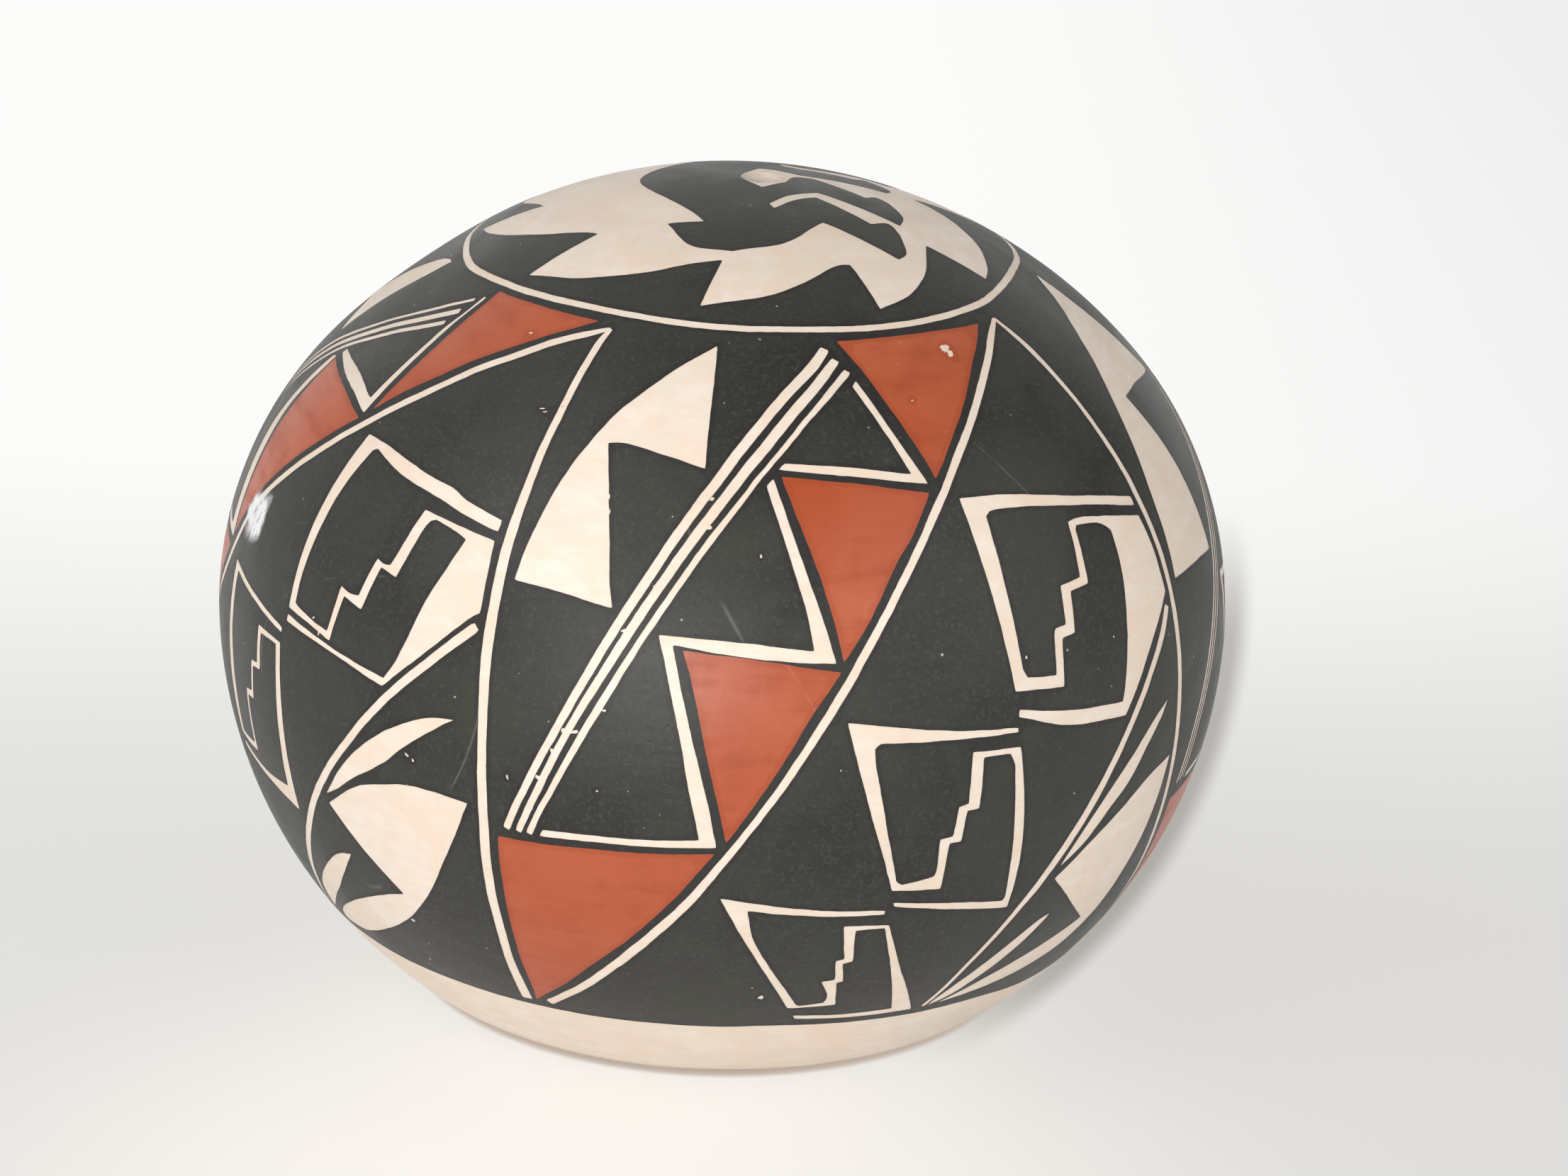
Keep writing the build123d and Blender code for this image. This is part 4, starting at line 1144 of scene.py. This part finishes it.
stand = {"width": 6.0, "depth": 3.2, "wallHeight": 3.0, "bend": 0.6, "bendSteps": 12}


def sweepFloor():
    work = bmesh.new()
    run = [(-stand["depth"], 0)]
    for step in range(stand["bendSteps"] + 1):
        angle = math.pi / 2 * step / stand["bendSteps"]
        run.append((stand["depth"] - stand["bend"] + stand["bend"] * math.sin(angle),
                    stand["bend"] * (1 - math.cos(angle))))
    run.append((stand["depth"], stand["wallHeight"]))
    spots = [work.verts.new((-stand["width"] / 2, depth, height)) for depth, height in run]
    edges = [work.edges.new(pair) for pair in zip(spots, spots[1:])]
    bmesh.ops.extrude_edge_only(work, edges=edges)
    for spot in work.verts:
        if spot not in spots:
            spot.co.x = stand["width"] / 2
    bmesh.ops.recalc_face_normals(work, faces=work.faces)
    mesh = finishMesh(work, "floor")
    mesh.shade_smooth()
    floor = bpy.data.objects.new("floor", mesh)
    bpy.context.scene.collection.objects.link(floor)
    return floor


floor = sweepFloor()
paper = {
    "albedo": 0.88, "rough": 0.95, "shine": 0.1,
    # painted shade and light on the paper, and between which places in metres each one fades in
    # painted shade: greyer near the front than far back
    "left": (0.775, 0.77, 0.75), "near": (0.775, 0.765, 0.75), "acrossFade": (-0.1, 0.14),
    "far": (1.0, 1.0, 0.99), "farFade": (0.0, 0.26),
    # painted light: a pool of warm light by the foot, as if thrown back from the pot
    "warm": (1.0, 0.955, 0.885), "warmLightSpot": (-0.018, -0.1, 0), "warmLightFade": (0.125, 0.02),
    # painted shade: darker towards the right
    "dim": (0.87, 0.875, 0.875), "dimFade": (0.02, 0.3),
    # painted contact shadow where the foot meets the paper, from ambient occlusion
    "contactShadow": (0.52, 0.42, 0.34), "contactShadowReach": 0.0016, "contactShadowFade": (0.8, 0.2),
    # painted shadow of the belly, as if thrown from shadeFrom
    "shade": (0.56, 0.545, 0.52), "shadeFrom": (0.0, -0.63, 0.30), "shadeEdge": (0.083, 0.079),
    "shadeAcross": (0.03, 0.06), "shadeDeep": (0.24, 0.14),
    # how much of its painted tone is shown, near and far
    "shown": (0.0, 0.3, 0.82, 0.93),
}


def potShade(tree, place):
    # painted shadow: the soft edge of shade the belly would throw on the paper behind its right side
    lampAt = Vector(paper["shadeFrom"])
    aim = vectorSums(tree, "NORMALIZE", vectorSums(tree, "SUBTRACT", placeOf(tree), lampAt))
    passing = vectorSums(tree, "LENGTH", vectorSums(tree, "CROSS_PRODUCT", aim, bellyCentre - lampAt))
    shade = span(tree, passing, *paper["shadeEdge"])
    shade = sums(tree, "MULTIPLY", shade, span(tree, place["X"], *paper["shadeAcross"]))
    return sums(tree, "MULTIPLY", shade, span(tree, place["Y"], *paper["shadeDeep"]))


def paperSweep():
    # matt white paper; the camera partly sees it glow with painted shade and light, and it keeps the shadow
    material, tree, shader = newMaterial("paperSweep")
    place = put(tree, "ShaderNodeSeparateXYZ", Vector=placeOf(tree)).outputs
    # painted shade: greyer near the front than far back
    tone = blendColour(tree, span(tree, place["X"], *paper["acrossFade"]), paper["left"], paper["near"])
    tone = blendColour(tree, span(tree, place["Y"], *paper["farFade"]), tone, paper["far"])
    # painted light: a warm pool by the foot
    away = vectorSums(tree, "DISTANCE", placeOf(tree), paper["warmLightSpot"])
    tone = blendColour(tree, span(tree, away, *paper["warmLightFade"]), tone, paper["warm"])
    # painted shade: darker towards the right
    tone = blendColour(tree, span(tree, place["X"], *paper["dimFade"]), tone, paper["dim"], "MULTIPLY")
    # painted shadow of the belly
    tone = blendColour(tree, potShade(tree, place), tone, paper["shade"], "MULTIPLY")
    # painted contact shadow under the foot
    contactShadow = put(tree, "ShaderNodeAmbientOcclusion", Distance=paper["contactShadowReach"], samples=8)
    contactShadow = span(tree, contactShadow.outputs["AO"], *paper["contactShadowFade"])
    tone = blendColour(tree, contactShadow, tone, paper["contactShadow"])
    glow = put(tree, "ShaderNodeEmission", Strength=1.0, Color=tone)
    feed(tree, shader.inputs["Base Color"], (*[paper["albedo"]] * 3, 1))
    feed(tree, shader.inputs["Roughness"], paper["rough"])
    feed(tree, shader.inputs["Specular IOR Level"], paper["shine"])
    rays = put(tree, "ShaderNodeLightPath").outputs
    seen = sums(tree, "MAXIMUM", rays["Is Camera Ray"], rays["Is Glossy Ray"])
    seen = sums(tree, "MAXIMUM", seen, rays["Is Transmission Ray"])
    seen = sums(tree, "MULTIPLY", seen, span(tree, place["Y"], *paper["shown"]))
    both = put(tree, "ShaderNodeMixShader")
    for socket, output in zip(both.inputs, (seen, shader.outputs[0], glow.outputs[0])):
        feed(tree, socket, output)
    feed(tree, tree.nodes["Material Output"].inputs["Surface"], both.outputs[0])
    return material


floor.data.materials.append(paperSweep())

lamps = {
    "front": {"at": (-0.35, -1.55, 0.36), "size": 0.8, "power": 15.0, "tint": (1, 0.985, 0.96)},
    "upperLeft": {"at": (-1.0, -0.75, 1.25), "size": 0.9, "power": 7.2, "tint": (1, 0.99, 0.975)},
    "right": {"at": (1.3, -0.8, 0.7), "size": 1.8, "power": 11.5, "tint": (1, 0.985, 0.96)},
}
for name, lamp in lamps.items():
    light = bpy.data.lights.new(name, "AREA")
    light.energy, light.size, light.color = lamp["power"], lamp["size"], lamp["tint"]
    holder = bpy.data.objects.new(name, light)
    aim = (bellyCentre - Vector(lamp["at"])).to_track_quat("-Z", "Y").to_matrix().to_4x4()
    holder.matrix_world = Matrix.Translation(lamp["at"]) @ aim
    bpy.context.scene.collection.objects.link(holder)

room = {"left": (0.62, 0.61, 0.60), "right": (0.22, 0.218, 0.215)}
world = bpy.data.worlds.new("studio")
bpy.context.scene.world = world
world.use_nodes = True
sky = world.node_tree
wayOut = put(sky, "ShaderNodeTexCoord").outputs["Generated"]
aside = put(sky, "ShaderNodeSeparateXYZ", Vector=wayOut).outputs["X"]
feed(sky, sky.nodes["Background"].inputs["Color"],
     blendColour(sky, span(sky, aside, -1.0, 1.0), room["left"], room["right"]))

view = {"at": (0.00965, -0.6301, 0.2942), "down": 20.2298, "roll": 2.1829, "lens": 96.47, "sensor": 36,
        "near": 0.01}
camera = bpy.data.objects.new("camera", bpy.data.cameras.new("camera"))
down, roll = math.radians(view["down"]), math.radians(view["roll"])
forward = Vector((0, math.cos(down), -math.sin(down)))
level, upright = Vector((1, 0, 0)), Vector((0, math.sin(down), math.cos(down)))
right = level * math.cos(roll) + upright * math.sin(roll)
up = upright * math.cos(roll) - level * math.sin(roll)
camera.matrix_world = Matrix((
    (right.x, up.x, -forward.x, view["at"][0]), (right.y, up.y, -forward.y, view["at"][1]),
    (right.z, up.z, -forward.z, view["at"][2]), (0, 0, 0, 1)))
camera.data.lens, camera.data.sensor_width = view["lens"], view["sensor"]
camera.data.clip_start = view["near"]
bpy.context.scene.collection.objects.link(camera)
bpy.context.scene.camera = camera
bpy.context.scene.view_settings.view_transform = "Standard"
print("floor, light and camera placed")
